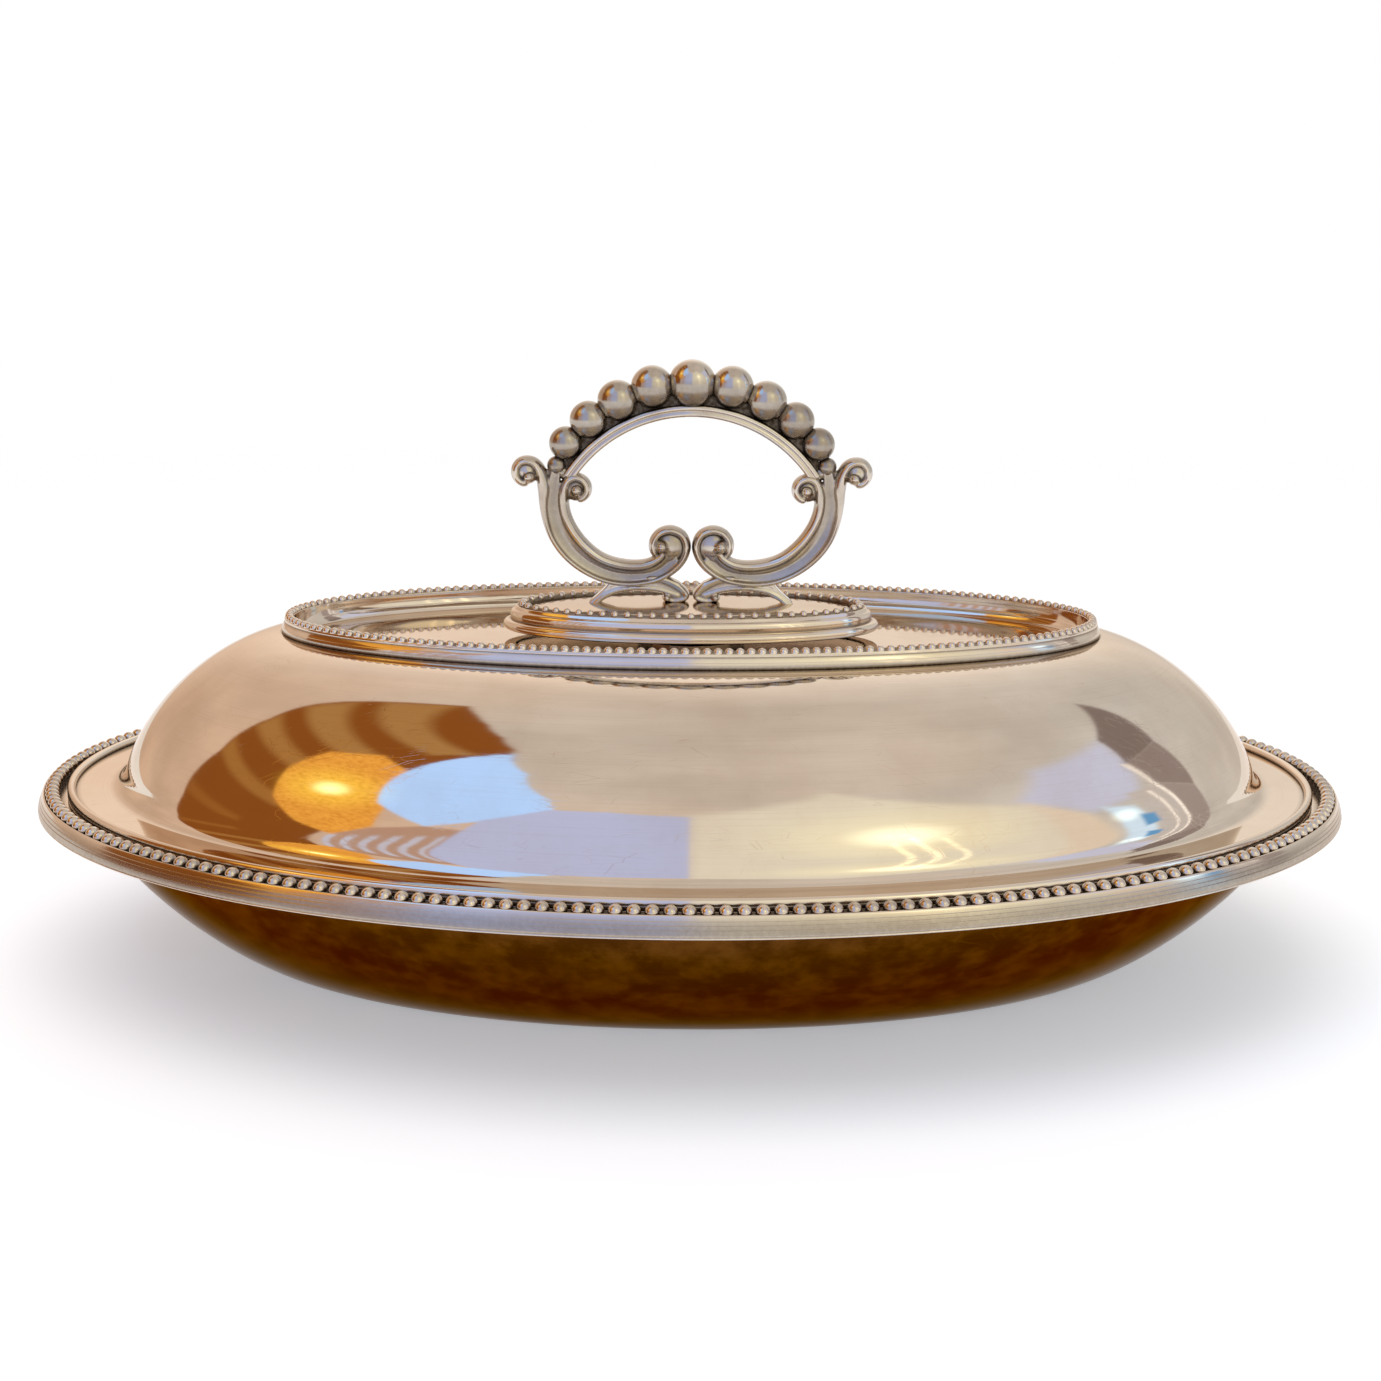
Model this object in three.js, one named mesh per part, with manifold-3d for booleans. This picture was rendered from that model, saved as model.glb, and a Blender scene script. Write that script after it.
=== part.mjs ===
import * as THREE from 'three';
import { mergeVertices } from 'three/addons/utils/BufferGeometryUtils.js';
import Module from 'manifold-3d';

// Oval silver-plated entree dish: a shallow dish with a beaded border, a domed lid with a beaded
// gallery, and a scroll handle on a bayonet stud. Millimetres, +Z up. The origin is on the table,
// under the middle of the dish; X runs along the dish.

const wasm = await Module();
wasm.setup();

// Whole dish
const DISH_LENGTH = 290;
const DISH_WIDTH = 204;
const SHEET = 1.2;
const FIT = 0.3;
const OVERRUN = 5;

// Dish body
const BASE_INSET = 49;
const WALL_TOP_INSET = 10;
const DISH_DEPTH = 38;
const DISH_CURVE_SHARE = 1.3;

// Border band round the dish's flange, and its row of beads
const BAND_THICKNESS = 1.3;
const BAND_DROP = 1.6;
const BAND_RISE = 1.6;
const BAND_ROUND = 0.5;
const BAND_LIP = 0.45;
const BORDER_BEAD = 2.6;
const BORDER_BEAD_COUNT = 228;
const BORDER_BEAD_INSET = 3.3;

// Lid: flange, dome and flat top
const LID_EDGE_GAP = 1.8;
const LID_FLANGE_WIDTH = 12;
const FOOT_FILLET = 3.4;
const DOME_RISE = 31.7;
const DOME_CURVE_SHARE = 1.6;
const EDGE_WIRE_WIDTH = 1.8;
const EDGE_WIRE_HEIGHT = 1.1;

// Gallery on the lid's flat top
const GALLERY_LENGTH = 182.2;
const GALLERY_WIDTH = 87;
const GALLERY_THICKNESS = 3.2;
const GALLERY_HEIGHT = 2.9;
const GALLERY_STEP = 0.7;
const GALLERY_BEAD = 1.9;
const GALLERY_BEAD_COUNT = 190;
const GALLERY_BEAD_INSET = 1.7;

// Bayonet stud on the lid
const STUD_BASE_DIAMETER = 24;
const STUD_BASE_HEIGHT = 1.6;
const STUD_DIAMETER = 6;
const STUD_WING_SPAN = 16;
const STUD_WING_WIDTH = 4.4;
const STUD_WING_THICKNESS = 1.5;

// Handle plate and the lock plate inside it
const PLATE_LENGTH = 83.8;
const PLATE_WIDTH = 41.4;
const PLATE_STEP = 1.6;
const PLATE_LOWER_STEP_HEIGHT = 2.1;
const PLATE_UPPER_STEP_HEIGHT = 2.2;
const PLATE_SHOULDER = 0.5;
const PLATE_CROWN = 1.6;
const PLATE_BEAD = 1.6;
const PLATE_BEAD_COUNT = 64;
const PLATE_BEAD_INSET = 4.2;
const LOCK_PLATE_THICKNESS = 1;
const LOCK_PLATE_RECESS = 0.4;
const UNLOCK_TURN = 60;
const STOP_PIN_DIAMETER = 2;
const STOP_PIN_HEIGHT = 1.8;

// Scroll handle
const HANDLE_SPAN = 79.2;
const HANDLE_SEAT_RISE = 3.3;
const SCROLL_DEPTH_SHARE = 1.4;
const ARCH_BAR_DEPTH = 4.4;
const ARCH_BAR_THICKNESS = 2.6;
const ARCH_GROOVE = 0.4;
const ARCH_RISE = 13.1;
const FOOT_DEPTH = 4.6;
const BALL_GAP = 0.12;

// Facets
const OVAL_SIDES = 60;
const PLATE_SIDES = 32;
const WALL_STEPS = 7;
const STRAND_SIDES = 6;
const STRAND_STEPS = 27;
const ARCH_STEPS = 20;
const BALL_SIDES = 10;
const BALL_RINGS = 7;
const EYE_SIDES = 8;
const EYE_RINGS = 6;
const STUD_SIDES = 16;

// Shares of HANDLE_SPAN, out from the handle's middle and up from the scroll's foot, then the
// strand's half-width. The outer strand runs from the outer volute round the C to the lower volute.
const OUTER_STRAND_SHARES = [
  [0.472, 0.297, 0.015],
  [0.485, 0.314, 0.017],
  [0.479, 0.336, 0.018],
  [0.457, 0.345, 0.019],
  [0.434, 0.336, 0.020],
  [0.418, 0.309, 0.021],
  [0.410, 0.275, 0.023],
  [0.404, 0.225, 0.025],
  [0.386, 0.167, 0.026],
  [0.348, 0.108, 0.0265],
  [0.295, 0.061, 0.0265],
  [0.229, 0.032, 0.0265],
  [0.159, 0.029, 0.025],
  [0.092, 0.043, 0.0245],
  [0.047, 0.077, 0.024],
  [0.026, 0.116, 0.024],
  [0.038, 0.141, 0.020],
  [0.067, 0.148, 0.018],
  [0.093, 0.138, 0.016],
  [0.101, 0.116, 0.015]
];

// The inner strand runs from the inner volute down the inside of the C and in under the lower volute.
const INNER_STRAND_SHARES = [
  [0.318, 0.249, 0.015],
  [0.298, 0.264, 0.016],
  [0.297, 0.285, 0.0165],
  [0.316, 0.300, 0.0175],
  [0.341, 0.294, 0.019],
  [0.357, 0.269, 0.0215],
  [0.361, 0.231, 0.024],
  [0.346, 0.175, 0.025],
  [0.306, 0.115, 0.025],
  [0.247, 0.072, 0.025],
  [0.177, 0.058, 0.024],
  [0.119, 0.066, 0.020],
  [0.081, 0.091, 0.016],
  [0.071, 0.114, 0.013]
];

// Volute eyes: out, up, radius and half-depth.
const EYE_SHARES = [
  [0.458, 0.318, 0.020, 0.038],
  [0.319, 0.274, 0.021, 0.039],
  [0.071, 0.117, 0.023, 0.042]
];

// Outline of a foot bracket: its toe, its back, the side by the middle, its inner curl and its arch.
const FOOT_SHARES = [
  [0.306, -0.072],
  [0.282, -0.039],
  [0.248, -0.009],
  [0.230, 0.012],
  [0.150, 0.026],
  [0.076, 0.030],
  [0.033, 0.014],
  [0.006, -0.020],
  [0.016, -0.034],
  [0.050, -0.036],
  [0.064, -0.026],
  [0.048, -0.022],
  [0.090, -0.012],
  [0.152, -0.008],
  [0.208, -0.017],
  [0.250, -0.039],
  [0.275, -0.072]
];

// Where the arch bar's middle line springs from the scrolls, and the balls' sizes along the arch.
const ARCH_SPRING_SHARE = 0.328;
const ARCH_SPRING_HEIGHT_SHARE = 0.326;
const BALL_SIZE_SHARES = [1, 0.885, 0.81, 0.745, 0.665, 0.365];
const LAST_BALL_TURN_SHARE = 1.07;

// Height where the plate's crown turns from its slope to its nearly flat top.
const CROWN_TURN_SHARE = 0.72;

// Bead section: the waist between two beads, as shares of the bead's width and height.
const BEAD_WAIST_SHARE = 0.5;
const BEAD_WAIST_HEIGHT_SHARE = 0.35;

// Heights, from the table up
const FLANGE_TOP = DISH_DEPTH + SHEET;
const LID_UNDERSIDE = FLANGE_TOP + FIT;
const LID_FLANGE_TOP = LID_UNDERSIDE + SHEET;
const LID_TOP = LID_FLANGE_TOP + DOME_RISE;
const GALLERY_BOTTOM = LID_TOP + FIT;
const GALLERY_TOP = GALLERY_BOTTOM + GALLERY_HEIGHT;
const STUD_BOTTOM = LID_TOP + FIT;
const LOCK_PLATE_BOTTOM = STUD_BOTTOM + STUD_BASE_HEIGHT + FIT;
const LOCK_PLATE_TOP = LOCK_PLATE_BOTTOM + LOCK_PLATE_THICKNESS;
const PLATE_BOTTOM = LOCK_PLATE_BOTTOM - LOCK_PLATE_RECESS;
const PLATE_SEAT = PLATE_BOTTOM + PLATE_LOWER_STEP_HEIGHT + PLATE_UPPER_STEP_HEIGHT;
const SCROLL_FOOT = PLATE_SEAT + PLATE_CROWN + HANDLE_SEAT_RISE;

// Ovals
const RIM = { a: DISH_LENGTH / 2, b: DISH_WIDTH / 2 };
const GALLERY = { a: GALLERY_LENGTH / 2, b: GALLERY_WIDTH / 2 };
const PLATE = { a: PLATE_LENGTH / 2, b: PLATE_WIDTH / 2 };
const LID_EDGE = inset(RIM, BORDER_BEAD_INSET + BORDER_BEAD / 2 + LID_EDGE_GAP);
const LID_FOOT = inset(LID_EDGE, LID_FLANGE_WIDTH);

// Materials
const polishedSilver = silver(0xd9c8b8, 0.16);
const underSilver = silver(0x63401f, 0.24);
const beadSilver = silver(0xb7a594, 0.3);
const castSilver = silver(0xc4b09c, 0.24);
const innerSilver = silver(0xbdb3aa, 0.35);

function silver(color, roughness) {
  return new THREE.MeshStandardMaterial({ color, roughness, metalness: 1 });
}

function inset(oval, distance) {
  return { a: oval.a - distance, b: oval.b - distance };
}

// One ring of points round an oval, at one height.
function ovalRing(oval, z, sides = OVAL_SIDES) {
  const points = [];
  for (let i = 0; i < sides; i += 1) {
    const turn = (2 * Math.PI * i) / sides;
    points.push(new THREE.Vector3(oval.a * Math.cos(turn), oval.b * Math.sin(turn), z));
  }
  return points;
}

// A single point that closes a loft on the axis.
function pole(z) {
  return [new THREE.Vector3(0, 0, z)];
}

function addBand(indices, from, to, fromStart, toStart) {
  const sides = Math.max(from.length, to.length);
  for (let i = 0; i < sides; i += 1) {
    const next = (i + 1) % sides;
    const a = fromStart + (from.length === 1 ? 0 : i);
    const b = fromStart + (from.length === 1 ? 0 : next);
    const c = toStart + (to.length === 1 ? 0 : next);
    const d = toStart + (to.length === 1 ? 0 : i);
    if (a !== b) indices.push(a, b, c);
    if (c !== d) indices.push(a, c, d);
  }
}

// Joins rings of points with facets; a looped loft also joins its last ring to its first.
function loft(rings, looped = false) {
  const positions = [];
  const starts = [];
  const indices = [];
  for (const ring of rings) {
    starts.push(positions.length / 3);
    for (const point of ring) positions.push(point.x, point.y, point.z);
  }
  const last = looped ? rings.length : rings.length - 1;
  for (let i = 0; i < last; i += 1) {
    const next = (i + 1) % rings.length;
    addBand(indices, rings[i], rings[next], starts[i], starts[next]);
  }
  const geometry = new THREE.BufferGeometry();
  geometry.setAttribute('position', new THREE.Float32BufferAttribute(positions, 3));
  geometry.setIndex(indices);
  return facingOut(geometry);
}

// Signed volume, which is negative where the facets face in.
function signedVolume(geometry) {
  const place = geometry.getAttribute('position');
  const index = geometry.getIndex();
  const a = new THREE.Vector3();
  const b = new THREE.Vector3();
  const c = new THREE.Vector3();
  let sum = 0;
  for (let i = 0; i < index.count; i += 3) {
    a.fromBufferAttribute(place, index.getX(i));
    b.fromBufferAttribute(place, index.getX(i + 1));
    c.fromBufferAttribute(place, index.getX(i + 2));
    sum += a.dot(b.cross(c));
  }
  return sum / 6;
}

function facingOut(geometry) {
  if (signedVolume(geometry) < 0) {
    const index = geometry.getIndex();
    for (let i = 0; i < index.count; i += 3) {
      const second = index.getX(i + 1);
      index.setX(i + 1, index.getX(i + 2));
      index.setX(i + 2, second);
    }
  }
  geometry.computeVertexNormals();
  return geometry;
}

function toSolid(geometry) {
  const bare = geometry.clone();
  bare.deleteAttribute('normal');
  if (bare.getAttribute('uv')) bare.deleteAttribute('uv');
  const merged = mergeVertices(bare);
  return new wasm.Manifold(new wasm.Mesh({
    numProp: 3,
    vertProperties: new Float32Array(merged.getAttribute('position').array),
    triVerts: new Uint32Array(merged.getIndex().array)
  }));
}

function toGeometry(solid) {
  const mesh = solid.getMesh();
  const geometry = new THREE.BufferGeometry();
  geometry.setAttribute('position', new THREE.BufferAttribute(mesh.vertProperties, mesh.numProp));
  geometry.setIndex(new THREE.BufferAttribute(mesh.triVerts, 1));
  geometry.computeVertexNormals();
  return geometry;
}

function joined(geometries) {
  const solids = geometries.map(toSolid);
  return toGeometry(solids.slice(1).reduce((whole, next) => whole.add(next), solids[0]));
}

function cut(geometry, tools) {
  return toGeometry(tools.reduce((left, tool) => left.subtract(toSolid(tool)), toSolid(geometry)));
}

function piece(name, geometry, material) {
  const mesh = new THREE.Mesh(geometry, material);
  mesh.name = name;
  return mesh;
}

// Rings of a curved wall that leaves its rim upright and runs out level at the other end. The curve
// is a quarter of a superellipse between two ovals.
function wallRings(rimOval, endOval, rimZ, endZ, curve, skip = 0) {
  const rings = [];
  for (let i = skip; i <= WALL_STEPS; i += 1) {
    const turn = (Math.PI / 2) * (i / WALL_STEPS);
    const across = 1 - Math.cos(turn) ** (2 / curve);
    const along = Math.sin(turn) ** (2 / curve);
    const oval = {
      a: THREE.MathUtils.lerp(rimOval.a, endOval.a, across),
      b: THREE.MathUtils.lerp(rimOval.b, endOval.b, across)
    };
    rings.push(ovalRing(oval, THREE.MathUtils.lerp(rimZ, endZ, along)));
  }
  return rings;
}

function dishBody() {
  const base = inset(RIM, BASE_INSET);
  const wallTop = inset(RIM, WALL_TOP_INSET);
  const flangeEdge = inset(RIM, BAND_THICKNESS + FIT);
  const outside = wallRings(wallTop, base, DISH_DEPTH, 0, DISH_CURVE_SHARE).reverse();
  const inside = wallRings(inset(wallTop, SHEET), inset(base, SHEET), FLANGE_TOP, SHEET, DISH_CURVE_SHARE);
  return loft([
    pole(0),
    ...outside,
    ovalRing(flangeEdge, DISH_DEPTH),
    ovalRing(flangeEdge, FLANGE_TOP),
    ...inside,
    pole(SHEET)
  ]);
}

function borderBand() {
  const bottom = DISH_DEPTH - BAND_DROP;
  const top = FLANGE_TOP + BAND_RISE;
  const inner = inset(RIM, BAND_THICKNESS);
  const lip = inset(RIM, BAND_THICKNESS + BAND_LIP);
  return loft([
    ovalRing(inner, bottom),
    ovalRing(inset(RIM, BAND_ROUND), bottom),
    ovalRing(RIM, bottom + 2 * BAND_ROUND),
    ovalRing(RIM, top - 2 * BAND_ROUND),
    ovalRing(inset(RIM, BAND_ROUND), top),
    ovalRing(lip, top),
    ovalRing(lip, FLANGE_TOP + FIT),
    ovalRing(inner, FLANGE_TOP + FIT)
  ], true);
}

// A wire drawn into beads, evenly spaced round an oval and standing on one height.
function beadRow(oval, seat, width, height, count) {
  const line = new THREE.EllipseCurve(0, 0, oval.a, oval.b);
  line.arcLengthDivisions = 8 * count;
  const rings = [];
  for (let i = 0; i < 2 * count; i += 1) {
    const station = i / (2 * count);
    const point = line.getPointAt(station);
    const tangent = line.getTangentAt(station);
    const onBead = i % 2 === 0;
    const half = (width / 2) * (onBead ? 1 : BEAD_WAIST_SHARE);
    const rise = height * (onBead ? 1 : BEAD_WAIST_HEIGHT_SHARE);
    rings.push([
      new THREE.Vector3(point.x + tangent.y * half, point.y - tangent.x * half, seat),
      new THREE.Vector3(point.x, point.y, seat + rise),
      new THREE.Vector3(point.x - tangent.y * half, point.y + tangent.x * half, seat)
    ]);
  }
  return loft(rings, true);
}

function lidBody() {
  const inner = inset(LID_FOOT, SHEET);
  const outside = wallRings(LID_FOOT, GALLERY, LID_FLANGE_TOP, LID_TOP, DOME_CURVE_SHARE, 1);
  const inside = wallRings(inner, inset(GALLERY, SHEET), LID_UNDERSIDE, LID_TOP - SHEET, DOME_CURVE_SHARE);
  return loft([
    pole(LID_TOP - SHEET),
    ...inside.reverse(),
    ovalRing(LID_EDGE, LID_UNDERSIDE),
    ovalRing(LID_EDGE, LID_FLANGE_TOP),
    ovalRing(inset(LID_FOOT, -FOOT_FILLET), LID_FLANGE_TOP),
    ovalRing(inset(LID_FOOT, -FOOT_FILLET / 3), LID_FLANGE_TOP + FOOT_FILLET / 3),
    ...outside,
    pole(LID_TOP)
  ]);
}

// Half-round wire on the edge of the lid's flange.
function lidEdgeWire() {
  const seat = LID_FLANGE_TOP + FIT;
  return loft([
    ovalRing(LID_EDGE, seat),
    ovalRing(LID_EDGE, seat + EDGE_WIRE_HEIGHT / 2),
    ovalRing(inset(LID_EDGE, EDGE_WIRE_WIDTH / 3), seat + EDGE_WIRE_HEIGHT),
    ovalRing(inset(LID_EDGE, (2 * EDGE_WIRE_WIDTH) / 3), seat + EDGE_WIRE_HEIGHT),
    ovalRing(inset(LID_EDGE, EDGE_WIRE_WIDTH), seat + EDGE_WIRE_HEIGHT / 2),
    ovalRing(inset(LID_EDGE, EDGE_WIRE_WIDTH), seat)
  ], true);
}

// Two reeds, one set back on the other.
function galleryMoulding() {
  const middle = GALLERY_BOTTOM + GALLERY_HEIGHT / 2;
  const stepped = inset(GALLERY, GALLERY_STEP);
  const inner = inset(GALLERY, GALLERY_THICKNESS);
  return loft([
    ovalRing(GALLERY, GALLERY_BOTTOM),
    ovalRing(GALLERY, middle - GALLERY_STEP / 2),
    ovalRing(stepped, middle),
    ovalRing(stepped, GALLERY_TOP),
    ovalRing(inner, GALLERY_TOP),
    ovalRing(inner, GALLERY_BOTTOM)
  ], true);
}

function cylinder(diameter, bottom, top, sides) {
  const geometry = new THREE.CylinderGeometry(diameter / 2, diameter / 2, top - bottom, sides);
  geometry.rotateX(Math.PI / 2);
  geometry.translate(0, 0, (bottom + top) / 2);
  return geometry;
}

function bar(length, width, bottom, top) {
  const geometry = new THREE.BoxGeometry(length, width, top - bottom);
  geometry.translate(0, 0, (bottom + top) / 2);
  return geometry;
}

// Stud with a round foot, a post and two wings that hold the handle's lock plate down.
function lidStud() {
  const wingBottom = LOCK_PLATE_TOP + FIT;
  const wingTop = wingBottom + STUD_WING_THICKNESS;
  return joined([
    cylinder(STUD_BASE_DIAMETER, STUD_BOTTOM, STUD_BOTTOM + STUD_BASE_HEIGHT, STUD_SIDES),
    cylinder(STUD_DIAMETER, STUD_BOTTOM, wingTop, STUD_SIDES),
    bar(STUD_WING_SPAN, STUD_WING_WIDTH, wingBottom, wingTop)
  ]);
}

// Outside of the handle's domed base, from its crown down: a low dome, a seat for the beads and
// two steps.
function plateOutside() {
  const ring = (oval, z) => ovalRing(oval, z, PLATE_SIDES);
  const lowerTop = PLATE_BOTTOM + PLATE_LOWER_STEP_HEIGHT;
  const upper = inset(PLATE, PLATE_STEP);
  const crown = inset(PLATE, PLATE_BEAD_INSET + PLATE_BEAD);
  return [
    pole(PLATE_SEAT + PLATE_CROWN),
    ring(inset(crown, PLATE_BEAD_INSET + PLATE_BEAD), PLATE_SEAT + PLATE_CROWN * CROWN_TURN_SHARE),
    ring(crown, PLATE_SEAT),
    ring(inset(upper, PLATE_SHOULDER), PLATE_SEAT),
    ring(upper, PLATE_SEAT - PLATE_SHOULDER),
    ring(upper, lowerTop),
    ring(inset(PLATE, PLATE_SHOULDER), lowerTop - PLATE_SHOULDER / 2),
    ring(PLATE, lowerTop - 2 * PLATE_SHOULDER),
    ring(PLATE, PLATE_BOTTOM + PLATE_SHOULDER),
    ring(inset(PLATE, PLATE_SHOULDER), PLATE_BOTTOM)
  ];
}

// Domed base of the handle, hollow below.
function platePiece() {
  const ring = (oval, z) => ovalRing(oval, z, PLATE_SIDES);
  const hollow = inset(PLATE, PLATE_STEP + SHEET);
  const crown = inset(PLATE, PLATE_BEAD_INSET + PLATE_BEAD);
  const ceiling = PLATE_SEAT - SHEET;
  return loft([
    ...plateOutside(),
    ring(hollow, PLATE_BOTTOM),
    ring(hollow, ceiling),
    ring(crown, ceiling),
    ring(inset(crown, PLATE_BEAD_INSET + PLATE_BEAD), ceiling + PLATE_CROWN * CROWN_TURN_SHARE),
    pole(ceiling + PLATE_CROWN)
  ]);
}

// The same base without its hollow and raised by the clearance, to cut what stands on it.
function plateSeatTool() {
  const tool = loft([...plateOutside(), pole(PLATE_BOTTOM)]);
  tool.translate(0, 0, FIT);
  return tool;
}

// Plate that closes the handle's base, with the slot that passes the stud's wings after the turn.
function lockPlate() {
  const outline = inset(PLATE, PLATE_STEP + SHEET + FIT);
  const sheet = loft([
    pole(LOCK_PLATE_BOTTOM),
    ovalRing(outline, LOCK_PLATE_BOTTOM, PLATE_SIDES),
    ovalRing(outline, LOCK_PLATE_TOP, PLATE_SIDES),
    pole(LOCK_PLATE_TOP)
  ]);
  const low = LOCK_PLATE_BOTTOM - OVERRUN;
  const high = LOCK_PLATE_TOP + OVERRUN;
  const slot = bar(STUD_WING_SPAN + 2 * FIT, STUD_WING_WIDTH + 2 * FIT, low, high);
  slot.rotateZ(THREE.MathUtils.degToRad(-UNLOCK_TURN));
  const bore = cylinder(STUD_DIAMETER + 2 * FIT, low, high, STUD_SIDES);
  const pins = [-1, 1].map((side) => {
    const pin = cylinder(STOP_PIN_DIAMETER, LOCK_PLATE_BOTTOM, LOCK_PLATE_TOP + STOP_PIN_HEIGHT, BALL_SIDES);
    const out = STUD_WING_SPAN / 2 - STOP_PIN_DIAMETER;
    const beside = STUD_WING_WIDTH / 2 + FIT + STOP_PIN_DIAMETER / 2;
    pin.translate(side * out, side * beside, 0);
    return pin;
  });
  return joined([cut(sheet, [slot, bore]), ...pins]);
}

function handlePoint(outShare, upShare) {
  return new THREE.Vector3(outShare * HANDLE_SPAN, 0, SCROLL_FOOT + upShare * HANDLE_SPAN);
}

// A cast strand: an oval section that follows a flat curve and changes size along it.
function strand(shares, growth) {
  const line = new THREE.CatmullRomCurve3(shares.map(([out, up]) => handlePoint(out, up)));
  const rings = [];
  for (let i = 0; i <= STRAND_STEPS; i += 1) {
    const t = i / STRAND_STEPS;
    const centre = line.getPoint(t);
    const tangent = line.getTangent(t);
    const place = t * (shares.length - 1);
    const before = Math.min(Math.floor(place), shares.length - 2);
    const share = THREE.MathUtils.lerp(shares[before][2], shares[before + 1][2], place - before);
    const half = share * HANDLE_SPAN + growth;
    const depth = share * HANDLE_SPAN * SCROLL_DEPTH_SHARE + growth;
    const ring = [];
    for (let k = 0; k < STRAND_SIDES; k += 1) {
      const turn = (2 * Math.PI * k) / STRAND_SIDES;
      const sideways = half * Math.cos(turn);
      ring.push(new THREE.Vector3(
        centre.x - tangent.z * sideways,
        depth * Math.sin(turn),
        centre.z + tangent.x * sideways
      ));
    }
    rings.push(ring);
  }
  const start = handlePoint(shares[0][0], shares[0][1]);
  const end = handlePoint(shares[shares.length - 1][0], shares[shares.length - 1][1]);
  return loft([[start], ...rings, [end]]);
}

function eye([out, up, radius, depth], growth) {
  const geometry = new THREE.SphereGeometry(1, EYE_SIDES, EYE_RINGS);
  const across = radius * HANDLE_SPAN + growth;
  geometry.scale(across, depth * HANDLE_SPAN + growth, across);
  const centre = handlePoint(out, up);
  geometry.translate(centre.x, centre.y, centre.z);
  return geometry;
}

// One side of the handle: two fused strands and three volute eyes. Growth makes the cutting copy.
function scroll(side, growth = 0) {
  const whole = joined([
    strand(OUTER_STRAND_SHARES, growth),
    strand(INNER_STRAND_SHARES, growth),
    ...EYE_SHARES.map((shares) => eye(shares, growth))
  ]);
  return mirrored(whole, side);
}

function mirrored(geometry, side) {
  if (side > 0) return geometry;
  const copy = geometry.clone();
  copy.scale(-1, 1, 1);
  return facingOut(copy);
}

// Bracket under a scroll, arched over the plate between its toe and its inner curl.
function footBracket(side) {
  const outline = new THREE.Shape(FOOT_SHARES.map(([out, up]) => (
    new THREE.Vector2(out * HANDLE_SPAN, up * HANDLE_SPAN)
  )));
  const block = new THREE.ExtrudeGeometry(outline, { depth: FOOT_DEPTH, bevelEnabled: false });
  block.translate(0, 0, -FOOT_DEPTH / 2);
  block.rotateX(Math.PI / 2);
  block.translate(0, 0, SCROLL_FOOT);
  return mirrored(cut(block, [scroll(1, FIT), plateSeatTool()]), side);
}

// Circle of the arch bar's middle line, through both springing points and the crown.
function archCircle() {
  const spring = handlePoint(ARCH_SPRING_SHARE, ARCH_SPRING_HEIGHT_SHARE);
  const radius = (spring.x ** 2 + ARCH_RISE ** 2) / (2 * ARCH_RISE);
  const centreZ = spring.z + ARCH_RISE - radius;
  return { radius, centreZ, springTurn: Math.asin(spring.x / radius) };
}

// Bar with a groove down its front and its back.
function archBar() {
  const { radius, centreZ, springTurn } = archCircle();
  const half = ARCH_BAR_THICKNESS / 2;
  const depth = ARCH_BAR_DEPTH / 2;
  const section = [
    [half, depth / 2],
    [half / 2, depth],
    [0, depth - ARCH_GROOVE],
    [-half / 2, depth],
    [-half, depth / 2],
    [-half, -depth / 2],
    [-half / 2, -depth],
    [0, ARCH_GROOVE - depth],
    [half / 2, -depth],
    [half, -depth / 2]
  ];
  const rings = [];
  for (let i = 0; i <= ARCH_STEPS; i += 1) {
    const turn = THREE.MathUtils.lerp(-springTurn, springTurn, i / ARCH_STEPS);
    rings.push(section.map(([out, across]) => new THREE.Vector3(
      (radius + out) * Math.sin(turn),
      across,
      centreZ + (radius + out) * Math.cos(turn)
    )));
  }
  const endPoint = (turn) => [new THREE.Vector3(
    radius * Math.sin(turn),
    0,
    centreZ + radius * Math.cos(turn)
  )];
  const whole = loft([endPoint(-springTurn), ...rings, endPoint(springTurn)]);
  return cut(whole, [scroll(1, FIT), scroll(-1, FIT)]);
}

// Balls from the crown down one side, each beside the last and seated on the bar.
function ballChain() {
  const { radius, springTurn } = archCircle();
  const seat = radius + ARCH_BAR_THICKNESS / 2 + BALL_GAP;
  const pairs = BALL_SIZE_SHARES.slice(1).map((share, i) => (share + BALL_SIZE_SHARES[i]) / 2);
  const chain = pairs.reduce((sum, share) => sum + share, 0);
  const middleShare = BALL_SIZE_SHARES[Math.floor(BALL_SIZE_SHARES.length / 2)];
  const reach = springTurn * LAST_BALL_TURN_SHARE;
  const topBall = (reach * seat - pairs.length * BALL_GAP) / (chain - (reach * middleShare) / 2);
  const balls = [];
  let turn = 0;
  BALL_SIZE_SHARES.forEach((share, i) => {
    const ballRadius = (share * topBall) / 2;
    const distance = seat + ballRadius;
    if (i > 0) {
      const last = balls[i - 1];
      const apart = last.ballRadius + ballRadius + BALL_GAP;
      const cosine = (last.distance ** 2 + distance ** 2 - apart ** 2) / (2 * last.distance * distance);
      turn += Math.acos(cosine);
    }
    balls.push({ ballRadius, distance, turn });
  });
  return balls;
}

function ball({ ballRadius, distance, turn }, side) {
  const { centreZ } = archCircle();
  const geometry = new THREE.SphereGeometry(ballRadius, BALL_SIDES, BALL_RINGS).rotateX(Math.PI / 2);
  geometry.translate(distance * Math.sin(turn), 0, centreZ + distance * Math.cos(turn));
  return mirrored(cut(geometry, [scroll(1, FIT)]), side);
}

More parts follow.
